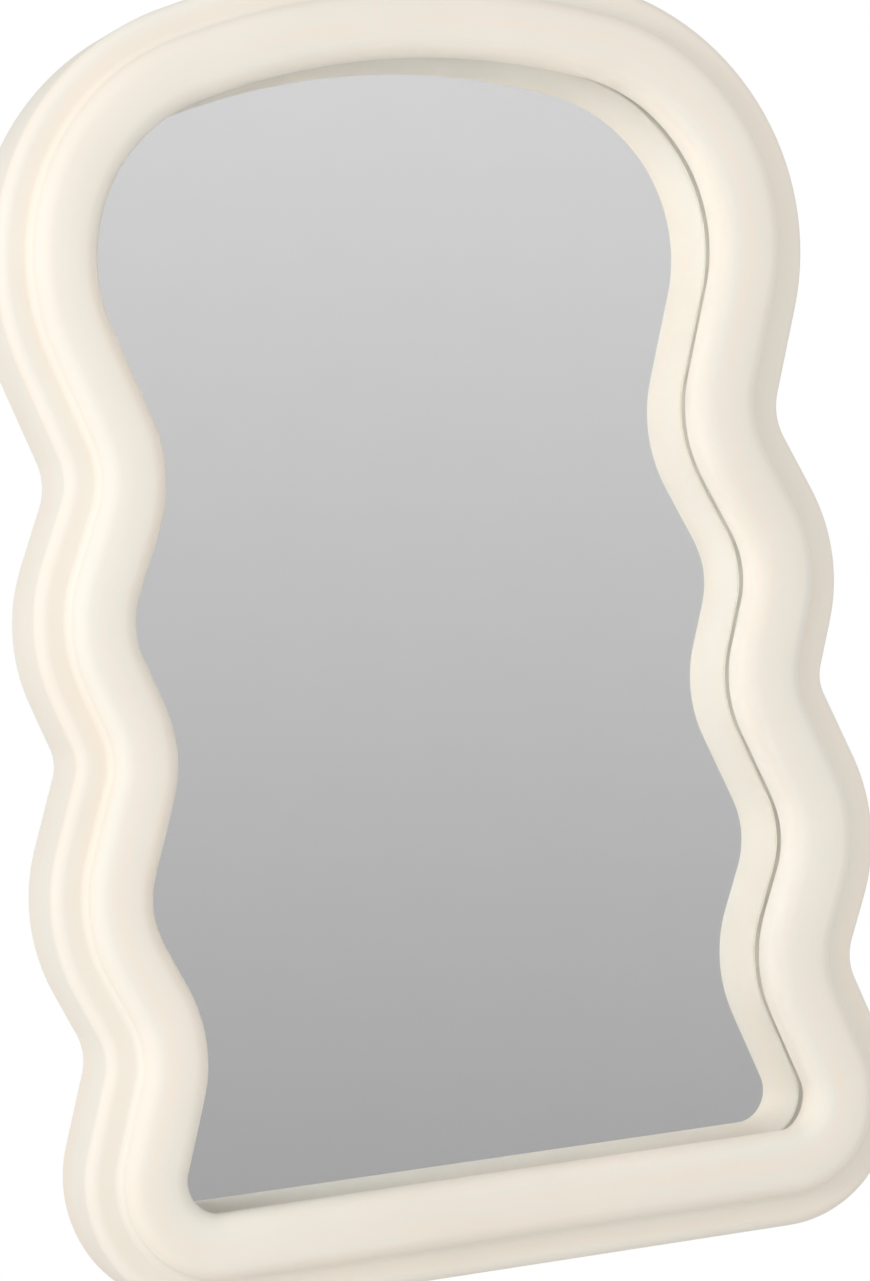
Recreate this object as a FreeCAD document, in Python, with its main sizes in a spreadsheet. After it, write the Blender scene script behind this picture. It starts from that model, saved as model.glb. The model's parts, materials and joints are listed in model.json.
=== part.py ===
"""Wavy wall mirror: a puffy painted timber frame with a recessed mirror, its back board and hangings.

Millimetres. +X is to the viewer's right, +Z is up and the mirror faces -Y. The origin lies halfway
between the two keyhole plates, on the flat back of the frame. In each body, heights count from the
bottom edge of the frame and depths from its back, and the body is then set down by the hanging height.
"""
import FreeCAD
import Part
import Sketcher
import math
import os

Vector = FreeCAD.Vector
H_AXIS = -1
V_AXIS = -2
START, END, CENTRE = 1, 2, 3

# Driving dimensions: alias, value, note
DIMENSIONS = [
    ("overall_width", 400, "outer width of the frame across its widest lobes"),
    ("overall_height", 600, "outer height of the frame"),
    ("frame_depth", 57, "back of the frame to the crown of its front roll"),
    ("outer_reach", 23.5, "outer wall of the step, outside the centreline of the moulding"),
    ("inner_reach", 21.5, "fullest point of the roll, inside the centreline"),
    ("roll_reach", 8, "outer wall of the roll, outside the centreline"),
    ("inner_roll_radius", 9.5, "rounding of the roll on the mirror's side"),
    ("roll_edge_radius", 8, "rounding of the roll on its outer side"),
    ("crown_radius", 50, "nearly flat front of the roll"),
    ("crown_inset", 5, "highest line of the roll, inside the centreline"),
    ("crease_radius", 3.5, "hollow between the roll and the step"),
    ("step_height", 44.5, "back of the frame to the front of the step"),
    ("step_edge_radius", 6, "rounding of the step"),
    ("back_edge_radius", 1.5, "rounding of the outer back edge"),
    ("sight_inset", 15.3, "sight edge, inside the centreline of the moulding"),
    ("lip_height", 22.5, "back face of the lip above the back of the frame"),
    ("rebate_inset", 8, "wall of the rebate, inside the centreline"),
    ("ledge_height", 14, "ledge that carries the turn buttons, above the back"),
    ("recess_outset", 3, "wall of the back recess, outside the centreline"),
    ("foot_lobe_reach", 174, "centreline to the middle of the frame, at the foot lobe"),
    ("foot_lobe_radius", 36.5, "bottom corner and foot lobe in one turn"),
    ("low_waist_reach", 158.5, "reach of the lowest waist"),
    ("low_waist_height", 119, "height of the lowest waist above the bottom edge"),
    ("low_waist_radius", 48, "centreline radius of the lowest waist"),
    ("low_lobe_height", 183.5, "height of the widest lobe"),
    ("low_lobe_radius", 64, "centreline radius of the widest lobe"),
    ("mid_waist_reach", 158, "reach of the middle waist"),
    ("mid_waist_height", 252, "height of the middle waist"),
    ("mid_waist_radius", 43, "centreline radius of the middle waist"),
    ("mid_lobe_reach", 171, "reach of the middle lobe"),
    ("mid_lobe_height", 307, "height of the middle lobe"),
    ("mid_lobe_radius", 62, "centreline radius of the middle lobe"),
    ("high_waist_reach", 150, "reach of the highest waist"),
    ("high_waist_height", 378.5, "height of the highest waist"),
    ("high_waist_radius", 52, "centreline radius of the highest waist"),
    ("high_lobe_reach", 171.5, "reach of the shoulder lobe"),
    ("high_lobe_height", 466.5, "height of the shoulder lobe and of the keyhole plates"),
    ("high_lobe_radius", 99, "centreline radius of the shoulder lobe"),
    ("rail_joint_reach", 105, "joints of the bottom rail, from the middle"),
    ("arch_joint_height", 422, "joints of the top arch, above the bottom edge"),
    ("dowel_diameter", 8, "beech dowel"),
    ("dowel_length", 40, "beech dowel"),
    ("dowel_clearance", 0.1, "room round a dowel and at its ends"),
    ("dowel_chamfer", 1, "bevel at the ends of a dowel"),
    ("front_dowel_depth", 34, "front dowel of a joint, above the back"),
    ("back_dowel_depth", 20, "back dowel of a joint, above the back"),
    ("back_dowel_outset", 10, "back dowel of a joint, outside the centreline"),
    ("tape_thickness", 1, "foam tape between lip and glass"),
    ("tape_outer_inset", 9.5, "outer edge of the foam tape, inside the centreline"),
    ("tape_inner_inset", 15, "inner edge of the foam tape, inside the centreline"),
    ("glass_thickness", 4, "float glass"),
    ("glass_inset", 9, "edge of the glass, inside the centreline"),
    ("coat_thickness", 0.3, "silver and its protective paint"),
    ("board_thickness", 3.2, "hardboard back"),
    ("board_inset", 8.5, "edge of the back board, inside the centreline"),
    ("pad_length", 24, "setting pad under the glass"),
    ("pad_reach", 70, "setting pads, from the middle"),
    ("button_inset", 2.5, "pivots of the turn buttons, inside the centreline"),
    ("rail_button_reach", 70, "turn buttons on the bottom rail, from the middle"),
    ("arch_button_reach", 95, "turn buttons on the top arch, from the middle"),
    ("side_button_share", 0.2, "turn buttons at the sides, as a share of the straight they sit on"),
    ("button_finger", 17, "pivot to the centre of the finger's end"),
    ("button_heel_radius", 4.5, "round heel of a turn button"),
    ("button_tip_radius", 3.5, "round tip of a turn button"),
    ("button_thickness", 1.5, "steel strip"),
    ("button_hole_radius", 1.55, "pivot hole, a running fit on its screw"),
    ("button_gap", 0.25, "room above and below a turn button"),
    ("screw_radius", 1.5, "shank of the small screws"),
    ("screw_tip", 3, "pointed end of the small screws"),
    ("driver_slot_width", 0.8, "slot for the screwdriver"),
    ("driver_slot_depth", 0.9, "slot for the screwdriver"),
    ("pivot_screw_length", 12, "shank of a pivot screw below its head"),
    ("pan_head_radius", 3, "pan head"),
    ("pan_head_height", 2, "pan head"),
    ("plate_length", 44, "keyhole plate"),
    ("plate_width", 14, "keyhole plate, whose ends are round"),
    ("plate_thickness", 2, "keyhole plate"),
    ("plate_outset", 12.5, "middle of a keyhole plate, outside the centreline"),
    ("plate_clearance", 0.3, "room round a keyhole plate in its pocket"),
    ("keyhole_radius", 4.5, "round entry of the keyhole"),
    ("keyslot_radius", 2.25, "half the width of the keyhole's slot"),
    ("keyslot_rise", 9, "entry centre to the centre of the slot's end"),
    ("keyhole_room_radius", 6, "room for a screw head behind the plate"),
    ("keyhole_room_depth", 12, "depth of that room from the back"),
    ("plate_screw_rise", 17, "plate screws above and below the entry"),
    ("plate_screw_hole_radius", 1.7, "screw hole in the plate"),
    ("plate_screw_length", 14, "countersunk plate screw, head included"),
    ("flat_head_radius", 3, "countersunk head"),
    ("flat_head_height", 1.5, "countersunk head"),
    ("pilot_clearance", 0.1, "room round a screw shank in the timber"),
    ("bumper_radius", 6, "wall bumper"),
    ("bumper_thickness", 3, "wall bumper"),
    ("bumper_outset", 12.5, "wall bumpers, outside the centreline"),
    ("bumper_edge", 0.8, "rounding of a wall bumper"),
    ("low_bumper_reach", 125, "lower bumpers, from the middle"),
    ("high_bumper_reach", 75, "upper bumpers, from the middle"),
]

doc = FreeCAD.newDocument("wavy_mirror")
sheet = doc.addObject("Spreadsheet::Sheet", "dims")
for row, (alias, number, note) in enumerate(DIMENSIONS, start=1):
    sheet.set(f"A{row}", note)
    sheet.set(f"B{row}", str(number))
    sheet.setAlias(f"B{row}", alias)
doc.recompute()


def size(alias):
    """A dimension as the sheet holds it."""
    return float(sheet.get(alias))


OUTER_REACH = size("outer_reach")
HANG_HEIGHT = size("high_lobe_height")


class Turn:
    """One lobe (side +1) or waist (side -1) of the frame's side, as expressions and as numbers."""

    def __init__(self, name, side, reach="", height=""):
        self.side = side
        self.radius_text = f"dims.{name}_radius"
        self.reach_text = reach or f"dims.{name}_reach"
        self.height_text = height or f"dims.{name}_height"
        self.radius = size(f"{name}_radius")

    def place(self, reach, height):
        self.centre = Vector(reach - self.side * self.radius, height, 0)
        return self

    def centre_text(self):
        sign = "-" if self.side > 0 else "+"
        return f"{self.reach_text} {sign} {self.radius_text}"

    def offset_radius(self, inset):
        return self.radius - self.side * inset

    def offset_text(self, inset_text):
        sign = "-" if self.side > 0 else "+"
        return f"{self.radius_text} {sign} ({inset_text})"


WIDEST_TEXT = "(dims.overall_width / 2 - dims.outer_reach)"
FOOT_TEXT = "(dims.outer_reach + dims.foot_lobe_radius)"
TURNS = [
    Turn("foot_lobe", 1, height=FOOT_TEXT).place(
        size("foot_lobe_reach"), OUTER_REACH + size("foot_lobe_radius")),
    Turn("low_waist", -1).place(size("low_waist_reach"), size("low_waist_height")),
    Turn("low_lobe", 1, reach=WIDEST_TEXT).place(
        size("overall_width") / 2 - OUTER_REACH, size("low_lobe_height")),
    Turn("mid_waist", -1).place(size("mid_waist_reach"), size("mid_waist_height")),
    Turn("mid_lobe", 1).place(size("mid_lobe_reach"), size("mid_lobe_height")),
    Turn("high_waist", -1).place(size("high_waist_reach"), size("high_waist_height")),
    Turn("high_lobe", 1).place(size("high_lobe_reach"), size("high_lobe_height")),
]


def tangent_direction(lower, upper):
    """Unit vector from the lower turn's centre to where the line to the upper turn leaves it."""
    along = upper.centre - lower.centre
    bearing = math.atan2(along.y, along.x)
    swing = math.acos((lower.radius + upper.radius) / along.Length)
    angle = bearing - lower.side * swing
    return Vector(math.cos(angle), math.sin(angle), 0)


LEAVING = [tangent_direction(TURNS[i], TURNS[i + 1]) for i in range(len(TURNS) - 1)]


def arch_centre_height():
    """Height of the centre of the arch's top curve, which touches the shoulder lobe from outside."""
    shoulder = TURNS[-1]
    crown = size("overall_height") - OUTER_REACH
    drop = shoulder.centre.y - crown
    reach = shoulder.centre.x
    radius = (shoulder.radius ** 2 - reach ** 2 - drop ** 2) / (2 * (drop + shoulder.radius))
    return crown - radius


ARCH_CENTRE = Vector(0, arch_centre_height(), 0)


def line_ends(index, inset):
    """Ends of the straight between turn number index and the next one, at an inset."""
    away = LEAVING[index]
    low = TURNS[index].centre + away * TURNS[index].offset_radius(inset)
    high = TURNS[index + 1].centre - away * TURNS[index + 1].offset_radius(inset)
    return low, high


def arc(centre, first, last):
    """Anticlockwise arc between two points about a centre."""
    start = math.atan2(first.y - centre.y, first.x - centre.x)
    stop = math.atan2(last.y - centre.y, last.x - centre.x)
    circle = Part.Circle(centre, Vector(0, 0, 1), (first - centre).Length)
    return Part.ArcOfCircle(circle, start, stop if stop > start else stop + 2 * math.pi)


def origin_plane(body, role):
    return next(plane for plane in body.Origin.OriginFeatures if plane.Role == role)


def new_body(name):
    body = doc.addObject("PartDesign::Body", name)
    body.Label = name
    return body


def new_sketch(body, name, role):
    sketch = body.newObject("Sketcher::SketchObject", f"{body.Name}_{name}")
    sketch.AttachmentSupport = [(origin_plane(body, role), "")]
    sketch.MapMode = "FlatFace"
    return sketch


def bind(sketch, kind, items, now, text):
    """Adds a dimension with its present value and binds it to an expression of the sheet."""
    number = sketch.addConstraint(Sketcher.Constraint(kind, *items, now))
    sketch.setExpression(f"Constraints[{number}]", text)


def relate(sketch, kind, *items):
    sketch.addConstraint(Sketcher.Constraint(kind, *items))


def across(sketch, item, point, text):
    """Distance of a point to the right of the sketch's vertical axis."""
    bind(sketch, "DistanceX", (-1, START, item, point), sketch.getPoint(item, point).x, text)


def leftward(sketch, item, point, text):
    """Distance of a point to the left of the sketch's vertical axis."""
    bind(sketch, "DistanceX", (item, point, -1, START), -sketch.getPoint(item, point).x, text)


def upward(sketch, item, point, text):
    """Height of a point above the sketch's horizontal axis."""
    bind(sketch, "DistanceY", (-1, START, item, point), sketch.getPoint(item, point).y, text)


def radius(sketch, item, text):
    bind(sketch, "Radius", (item,), sketch.Geometry[item].Radius, text)


# The wavy outline: turns, the straights between them, the arch and the bottom line

def turn_circle(sketch, turn):
    """The whole circle of a turn on the centreline, as a construction line."""
    item = sketch.addGeometry(Part.Circle(turn.centre, Vector(0, 0, 1), turn.radius), True)
    across(sketch, item, CENTRE, turn.centre_text())
    upward(sketch, item, CENTRE, turn.height_text)
    radius(sketch, item, turn.radius_text)
    return item


def entry_direction(index):
    return LEAVING[index - 1] * -1 if index else Vector(0, -1, 0)


def exit_direction(index):
    if index < len(LEAVING):
        return LEAVING[index]
    return (TURNS[index].centre - ARCH_CENTRE).normalize()


def draw_turn(sketch, index, inset, inset_text):
    """One turn at an inset. Gives the arc with its lower and its upper end."""
    turn = TURNS[index]
    reach = turn.offset_radius(inset)
    low = turn.centre + entry_direction(index) * reach
    high = turn.centre + exit_direction(index) * reach
    ends = (low, high) if turn.side > 0 else (high, low)
    item = sketch.addGeometry(arc(turn.centre, *ends))
    across(sketch, item, CENTRE, turn.centre_text())
    upward(sketch, item, CENTRE, turn.height_text)
    radius(sketch, item, turn.offset_text(inset_text))
    return (item, START, END) if turn.side > 0 else (item, END, START)


def draw_straight(sketch, low, high):
    return sketch.addGeometry(Part.LineSegment(low, high))


def draw_turns(sketch, first, last, inset, inset_text):
    """Turns first to last with the straights between them. Gives the lower and upper free ends."""
    drawn = [draw_turn(sketch, index, inset, inset_text) for index in range(first, last + 1)]
    for step, index in enumerate(range(first, last)):
        item = draw_straight(sketch, *line_ends(index, inset))
        relate(sketch, "Tangent", item, START, drawn[step][0], drawn[step][2])
        relate(sketch, "Tangent", item, END, drawn[step + 1][0], drawn[step + 1][1])
    return (drawn[0][0], drawn[0][1]), (drawn[-1][0], drawn[-1][2])


def draw_bottom(sketch, start, foot, inset):
    """The straight bottom line, from a point at a reach of start to the foot lobe."""
    level = OUTER_REACH + inset
    item = draw_straight(sketch, Vector(start, level, 0), Vector(TURNS[0].centre.x, level, 0))
    relate(sketch, "Tangent", item, END, *foot)
    relate(sketch, "Horizontal", item)
    return item


def draw_arch(sketch, shoulder, inset, inset_text):
    """The top curve from the shoulder lobe to the middle of the frame."""
    top = Vector(0, size("overall_height") - OUTER_REACH - inset, 0)
    touch = TURNS[-1].centre + exit_direction(len(LEAVING)) * TURNS[-1].offset_radius(inset)
    item = sketch.addGeometry(arc(ARCH_CENTRE, touch, top))
    relate(sketch, "Tangent", item, START, *shoulder)
    relate(sketch, "PointOnObject", item, CENTRE, V_AXIS)
    relate(sketch, "PointOnObject", item, END, V_AXIS)
    upward(sketch, item, END, f"dims.overall_height - dims.outer_reach - ({inset_text})")
    return item


def half_outline(sketch, inset_alias):
    """The right half of the outline at an inset. Gives its two ends on the middle line."""
    inset = size(inset_alias)
    inset_text = f"dims.{inset_alias}"
    foot, shoulder = draw_turns(sketch, 0, len(TURNS) - 1, inset, inset_text)
    bottom = draw_bottom(sketch, 0, foot, inset)
    relate(sketch, "PointOnObject", bottom, START, V_AXIS)
    arch = draw_arch(sketch, shoulder, inset, inset_text)
    return (bottom, START), (arch, END)


def close_on_axis(sketch, one, other):
    item = draw_straight(sketch, sketch.getPoint(*one), sketch.getPoint(*other))
    relate(sketch, "Coincident", item, START, *one)
    relate(sketch, "Coincident", item, END, *other)


# Features

def settle(thing):
    """Sets a body down from heights above the bottom edge to heights about the keyhole plates."""
    thing.setExpression("Placement.Base.z", "-dims.high_lobe_height")
    return thing


def pad(body, sketch, length_text):
    feature = body.newObject("PartDesign::Pad", f"{sketch.Name}_pad")
    feature.Profile = sketch
    feature.setExpression("Length", length_text)
    return feature


def pocket(body, sketch, length_text):
    """A cut from the back of the frame towards the viewer."""
    feature = body.newObject("PartDesign::Pocket", f"{sketch.Name}_pocket")
    feature.Profile = sketch
    feature.setExpression("Length", length_text)
    feature.Reversed = True
    return feature


def mirror_halves(body, features):
    feature = body.newObject("PartDesign::Mirrored", f"{body.Name}_halves")
    feature.Originals = features
    feature.MirrorPlane = (origin_plane(body, "YZ_Plane"), [""])
    body.Tip = feature


def sheet_piece(name, insets, back_text, thickness_text):
    """A flat piece cut to the wavy outline, or a ring between two insets."""
    body = settle(new_body(name))
    sketch = new_sketch(body, "outline", "XZ_Plane")
    sketch.setExpression("AttachmentOffset.Base.z", back_text)
    ends = [half_outline(sketch, inset) for inset in insets]
    if len(ends) == 1:
        close_on_axis(sketch, *ends[0])
    else:
        close_on_axis(sketch, ends[0][0], ends[1][0])
        close_on_axis(sketch, ends[0][1], ends[1][1])
    feature = pad(body, sketch, thickness_text)
    mirror_halves(body, [feature])
    return body


def mirrored_piece(name, source):
    """The left-hand twin of a right-hand piece."""
    piece = doc.addObject("Part::Mirroring", name)
    piece.Label = name
    piece.Source = source
    piece.Normal = Vector(1, 0, 0)
    piece.Base = Vector(0, 0, 0)
    return piece


def group(name, pieces):
    """Several separate solids of one kind in one node."""
    node = doc.addObject("Part::Compound", name)
    node.Label = name
    node.Links = pieces
    return node


# The moulding's section, with x outward from the centreline and y forward from the back

def draw_section(sketch):
    outside = OUTER_REACH
    crown_radius = size("crown_radius")
    crown_centre = Vector(-size("crown_inset"), size("frame_depth") - crown_radius, 0)
    roll = size("inner_roll_radius")
    inner_centre = under_arc(crown_centre, crown_radius - roll, roll - size("inner_reach"))
    inner_touch = crown_centre + (inner_centre - crown_centre).normalize() * crown_radius
    widest = inner_centre - Vector(roll, 0, 0)
    roll_edge_radius = size("roll_edge_radius")
    roll_side = size("roll_reach")
    edge_centre = under_arc(crown_centre, crown_radius - roll_edge_radius, roll_side - roll_edge_radius)
    edge_touch = crown_centre + (edge_centre - crown_centre).normalize() * crown_radius
    edge_side = Vector(roll_side, edge_centre.y, 0)
    crease = size("crease_radius")
    step_front = size("step_height")
    crease_centre = Vector(roll_side + crease, step_front + crease, 0)
    crease_high = Vector(roll_side, crease_centre.y, 0)
    crease_low = Vector(crease_centre.x, step_front, 0)
    step_round = size("step_edge_radius")
    step_centre = Vector(outside - step_round, step_front - step_round, 0)
    step_side = Vector(outside, step_centre.y, 0)
    step_top = Vector(step_centre.x, step_front, 0)
    sight = Vector(-size("sight_inset"), size("lip_height"), 0)
    drop = widest.y - sight.y
    shift = sight.x - widest.x
    under_centre = widest + Vector((shift ** 2 + drop ** 2) / (2 * shift), 0, 0)
    back_round = size("back_edge_radius")
    back_centre = Vector(outside - back_round, back_round, 0)
    rebate = -size("rebate_inset")
    recess = size("recess_outset")
    ledge = size("ledge_height")

    back = draw_straight(sketch, Vector(recess, 0, 0), Vector(outside - back_round, 0, 0))
    below = back_centre - Vector(0, back_round, 0)
    beside = back_centre + Vector(back_round, 0, 0)
    back_edge = sketch.addGeometry(arc(back_centre, below, beside))
    wall = draw_straight(sketch, beside, step_side)
    step_edge = sketch.addGeometry(arc(step_centre, step_side, step_top))
    step = draw_straight(sketch, step_top, crease_low)
    hollow = sketch.addGeometry(arc(crease_centre, crease_high, crease_low))
    roll_wall = draw_straight(sketch, crease_high, edge_side)
    roll_edge = sketch.addGeometry(arc(edge_centre, edge_side, edge_touch))
    crown = sketch.addGeometry(arc(crown_centre, edge_touch, inner_touch))
    inner_roll = sketch.addGeometry(arc(inner_centre, inner_touch, widest))
    undercut = sketch.addGeometry(arc(under_centre, widest, sight))
    lip = draw_straight(sketch, sight, Vector(rebate, sight.y, 0))
    rebate_wall = draw_straight(sketch, Vector(rebate, sight.y, 0), Vector(rebate, ledge, 0))
    ledge_line = draw_straight(sketch, Vector(rebate, ledge, 0), Vector(recess, ledge, 0))
    recess_wall = draw_straight(sketch, Vector(recess, ledge, 0), Vector(recess, 0, 0))

    relate(sketch, "Tangent", back, END, back_edge, START)
    relate(sketch, "Tangent", back_edge, END, wall, START)
    relate(sketch, "Tangent", wall, END, step_edge, START)
    relate(sketch, "Tangent", step_edge, END, step, START)
    relate(sketch, "Tangent", step, END, hollow, END)
    relate(sketch, "Tangent", hollow, START, roll_wall, START)
    relate(sketch, "Tangent", roll_wall, END, roll_edge, START)
    relate(sketch, "Tangent", roll_edge, END, crown, START)
    relate(sketch, "Tangent", crown, END, inner_roll, START)
    relate(sketch, "Tangent", inner_roll, END, undercut, START)
    square = [undercut, lip, rebate_wall, ledge_line, recess_wall, back]
    for one, other in zip(square, square[1:]):
        relate(sketch, "Coincident", one, END, other, START)
    for item in (step, lip, ledge_line):
        relate(sketch, "Horizontal", item)
    for item in (wall, roll_wall, rebate_wall, recess_wall):
        relate(sketch, "Vertical", item)
    relate(sketch, "PointOnObject", back, START, H_AXIS)
    relate(sketch, "PointOnObject", back, END, H_AXIS)
    relate(sketch, "Horizontal", inner_roll, CENTRE, inner_roll, END)
    across(sketch, back, START, "dims.recess_outset")
    across(sketch, wall, START, "dims.outer_reach")
    upward(sketch, step, START, "dims.step_height")
    across(sketch, roll_wall, START, "dims.roll_reach")
    leftward(sketch, crown, CENTRE, "dims.crown_inset")
    upward(sketch, crown, CENTRE, "dims.frame_depth - dims.crown_radius")
    leftward(sketch, inner_roll, CENTRE, "dims.inner_reach - dims.inner_roll_radius")
    leftward(sketch, lip, START, "dims.sight_inset")
    upward(sketch, lip, START, "dims.lip_height")
    leftward(sketch, rebate_wall, START, "dims.rebate_inset")
    upward(sketch, ledge_line, START, "dims.ledge_height")
    radius(sketch, back_edge, "dims.back_edge_radius")
    radius(sketch, step_edge, "dims.step_edge_radius")
    radius(sketch, hollow, "dims.crease_radius")
    radius(sketch, roll_edge, "dims.roll_edge_radius")
    radius(sketch, crown, "dims.crown_radius")
    radius(sketch, inner_roll, "dims.inner_roll_radius")


def under_arc(centre, reach, across_at):
    """The point at a distance above a centre that lies at a given place across."""
    return Vector(across_at, centre.y + math.sqrt(reach ** 2 - (across_at - centre.x) ** 2), 0)


def section_sketch(body, reach_text, level_text, outward_up):
    """The section across the moulding at a reach and a height, with its outer side up or down."""
    sketch = new_sketch(body, "section", "YZ_Plane")
    outward = Vector(0, 1 if outward_up else -1, 0)
    forward = Vector(-1, 0, 0)
    turned = FreeCAD.Rotation(outward, forward, outward.cross(forward), "ZXY")
    sketch.AttachmentOffset = FreeCAD.Placement(Vector(0, 0, 0), turned)
    sketch.setExpression("AttachmentOffset.Base.y", level_text)
    sketch.setExpression("AttachmentOffset.Base.z", reach_text)
    draw_section(sketch)
    return sketch


def sweep(body, section, path):
    feature = body.newObject("PartDesign::AdditivePipe", f"{body.Name}_sweep")
    feature.Profile = section
    feature.Spine = (path, [])
    return feature


# The four lengths of moulding

HIGH_WAIST = len(TURNS) - 2
SHOULDER = len(TURNS) - 1


def arch_joint():
    """Where the arch meets a stile: the point and the direction of the moulding there."""
    low, high = line_ends(HIGH_WAIST, 0)
    share = (size("arch_joint_height") - low.y) / (high.y - low.y)
    return low + (high - low) * share, (high - low).normalize()


def stile_moulding():
    """The right side, from the bottom rail up to the arch."""
    body = settle(new_body("stile_moulding"))
    path = new_sketch(body, "path", "XZ_Plane")
    foot, waist = draw_turns(path, 0, HIGH_WAIST, 0, "0")
    bottom = draw_bottom(path, size("rail_joint_reach"), foot, 0)
    across(path, bottom, START, "dims.rail_joint_reach")
    straight = draw_straight(path, path.getPoint(*waist), arch_joint()[0])
    relate(path, "Tangent", straight, START, *waist)
    relate(path, "Tangent", straight, turn_circle(path, TURNS[SHOULDER]))
    upward(path, straight, END, "dims.arch_joint_height")
    section = section_sketch(body, "dims.rail_joint_reach", "dims.outer_reach", False)
    sweep(body, section, path)
    return body


def arch_moulding():
    """The top, with a pocket for a keyhole plate and room for a screw head on each side."""
    body = settle(new_body("arch_moulding"))
    path = new_sketch(body, "path", "XZ_Plane")
    low, high = draw_turns(path, SHOULDER, SHOULDER, 0, "0")
    draw_arch(path, high, 0, "0")
    straight = draw_straight(path, arch_joint()[0], path.getPoint(*low))
    relate(path, "Tangent", straight, END, *low)
    relate(path, "Tangent", straight, turn_circle(path, TURNS[HIGH_WAIST]))
    upward(path, straight, START, "dims.arch_joint_height")
    top_text = "dims.overall_height - dims.outer_reach"
    section = section_sketch(body, "0", top_text, True)
    swept = sweep(body, section, path)
    plate_room = new_sketch(body, "plate_room", "XZ_Plane")
    draw_plate(plate_room, "dims.plate_clearance")
    plate_pocket = pocket(body, plate_room, "dims.plate_thickness")
    head_room = new_sketch(body, "head_room", "XZ_Plane")
    draw_slot(head_room, "dims.high_lobe_height", "dims.high_lobe_height + dims.keyslot_rise",
              "dims.keyhole_room_radius")
    head_pocket = pocket(body, head_room, "dims.keyhole_room_depth")
    mirror_halves(body, [swept, plate_pocket, head_pocket])
    return body


def rail_moulding():
    """The straight bottom rail."""
    body = settle(new_body("rail_moulding"))
    section = section_sketch(body, "0", "dims.outer_reach", False)
    feature = pad(body, section, "2 * dims.rail_joint_reach")
    feature.SideType = "Symmetric"
    return body


# Keyhole plates

PLATE_TEXT = "(dims.high_lobe_reach + dims.plate_outset)"


def value(text):
    """The number that an expression of the sheet gives."""
    return float(sheet.evalExpression(text.replace("dims.", "")))


def draw_slot(sketch, low_text, high_text, radius_text):
    """An upright slot with round ends on the keyhole plate's middle line."""
    middle = value(PLATE_TEXT)
    low = Vector(middle, value(low_text), 0)
    high = Vector(middle, value(high_text), 0)
    side = Vector(value(radius_text), 0, 0)
    foot = sketch.addGeometry(arc(low, low - side, low + side))
    right = draw_straight(sketch, low + side, high + side)
    head = sketch.addGeometry(arc(high, high + side, high - side))
    left = draw_straight(sketch, high - side, low - side)
    relate(sketch, "Tangent", foot, END, right, START)
    relate(sketch, "Tangent", right, END, head, START)
    relate(sketch, "Tangent", head, END, left, START)
    relate(sketch, "Tangent", left, END, foot, START)
    across(sketch, foot, CENTRE, PLATE_TEXT)
    across(sketch, head, CENTRE, PLATE_TEXT)
    upward(sketch, foot, CENTRE, low_text)
    upward(sketch, head, CENTRE, high_text)
    radius(sketch, head, radius_text)


def draw_plate(sketch, margin_text):
    """The outline of a keyhole plate, with a margin round it."""
    rise = "(dims.plate_length - dims.plate_width) / 2"
    draw_slot(sketch, f"dims.high_lobe_height - {rise}", f"dims.high_lobe_height + {rise}",
              f"dims.plate_width / 2 + {margin_text}")


def draw_keyhole(sketch):
    """A round entry with a narrower slot above it."""
    centre = Vector(value(PLATE_TEXT), HANG_HEIGHT, 0)
    half = size("keyslot_radius")
    shoulder = math.sqrt(size("keyhole_radius") ** 2 - half ** 2)
    top = centre + Vector(0, size("keyslot_rise"), 0)
    left = Vector(-half, 0, 0)
    lift = Vector(0, shoulder, 0)
    entry = sketch.addGeometry(arc(centre, centre + left + lift, centre - left + lift))
    right_side = draw_straight(sketch, centre - left + lift, top - left)
    end = sketch.addGeometry(arc(top, top - left, top + left))
    left_side = draw_straight(sketch, top + left, centre + left + lift)
    relate(sketch, "Coincident", entry, END, right_side, START)
    relate(sketch, "Tangent", right_side, END, end, START)
    relate(sketch, "Tangent", end, END, left_side, START)
    relate(sketch, "Coincident", left_side, END, entry, START)
    relate(sketch, "Vertical", right_side)
    relate(sketch, "Vertical", left_side)
    across(sketch, entry, CENTRE, PLATE_TEXT)
    upward(sketch, entry, CENTRE, "dims.high_lobe_height")
    radius(sketch, entry, "dims.keyhole_radius")
    across(sketch, end, CENTRE, PLATE_TEXT)
    upward(sketch, end, CENTRE, "dims.high_lobe_height + dims.keyslot_rise")
    radius(sketch, end, "dims.keyslot_radius")


def draw_screw_hole(sketch, height_text):
    centre = Vector(value(PLATE_TEXT), value(height_text), 0)
    item = sketch.addGeometry(Part.Circle(centre, Vector(0, 0, 1), size("plate_screw_hole_radius")))
    across(sketch, item, CENTRE, PLATE_TEXT)
    upward(sketch, item, CENTRE, height_text)
    radius(sketch, item, "dims.plate_screw_hole_radius")


def back_rims(feature, reach):
    """Names of the circular edges of a given radius on the back of a feature."""
    names = []
    for number, edge in enumerate(feature.Shape.Edges, start=1):
        if not isinstance(edge.Curve, Part.Circle):
            continue
        if abs(edge.Curve.Radius - reach) < 1e-6 and abs(edge.CenterOfMass.y) < 1e-6:
            names.append(f"Edge{number}")
    return names


def keyhole_plate(name):
    """A steel plate with round ends, a keyhole and two countersunk screw holes."""
    body = settle(new_body(name))
    sketch = new_sketch(body, "outline", "XZ_Plane")
    draw_plate(sketch, "0")
    draw_keyhole(sketch)
    for sign in "+-":
        draw_screw_hole(sketch, f"dims.high_lobe_height {sign} dims.plate_screw_rise")
    plate = pad(body, sketch, "dims.plate_thickness")
    doc.recompute()
    sink = body.newObject("PartDesign::Chamfer", f"{name}_countersinks")
    sink.Base = (plate, back_rims(plate, size("plate_screw_hole_radius")))
    sink.setExpression("Size", "dims.flat_head_radius - dims.plate_screw_hole_radius")
    body.Tip = sink
    return body


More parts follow.
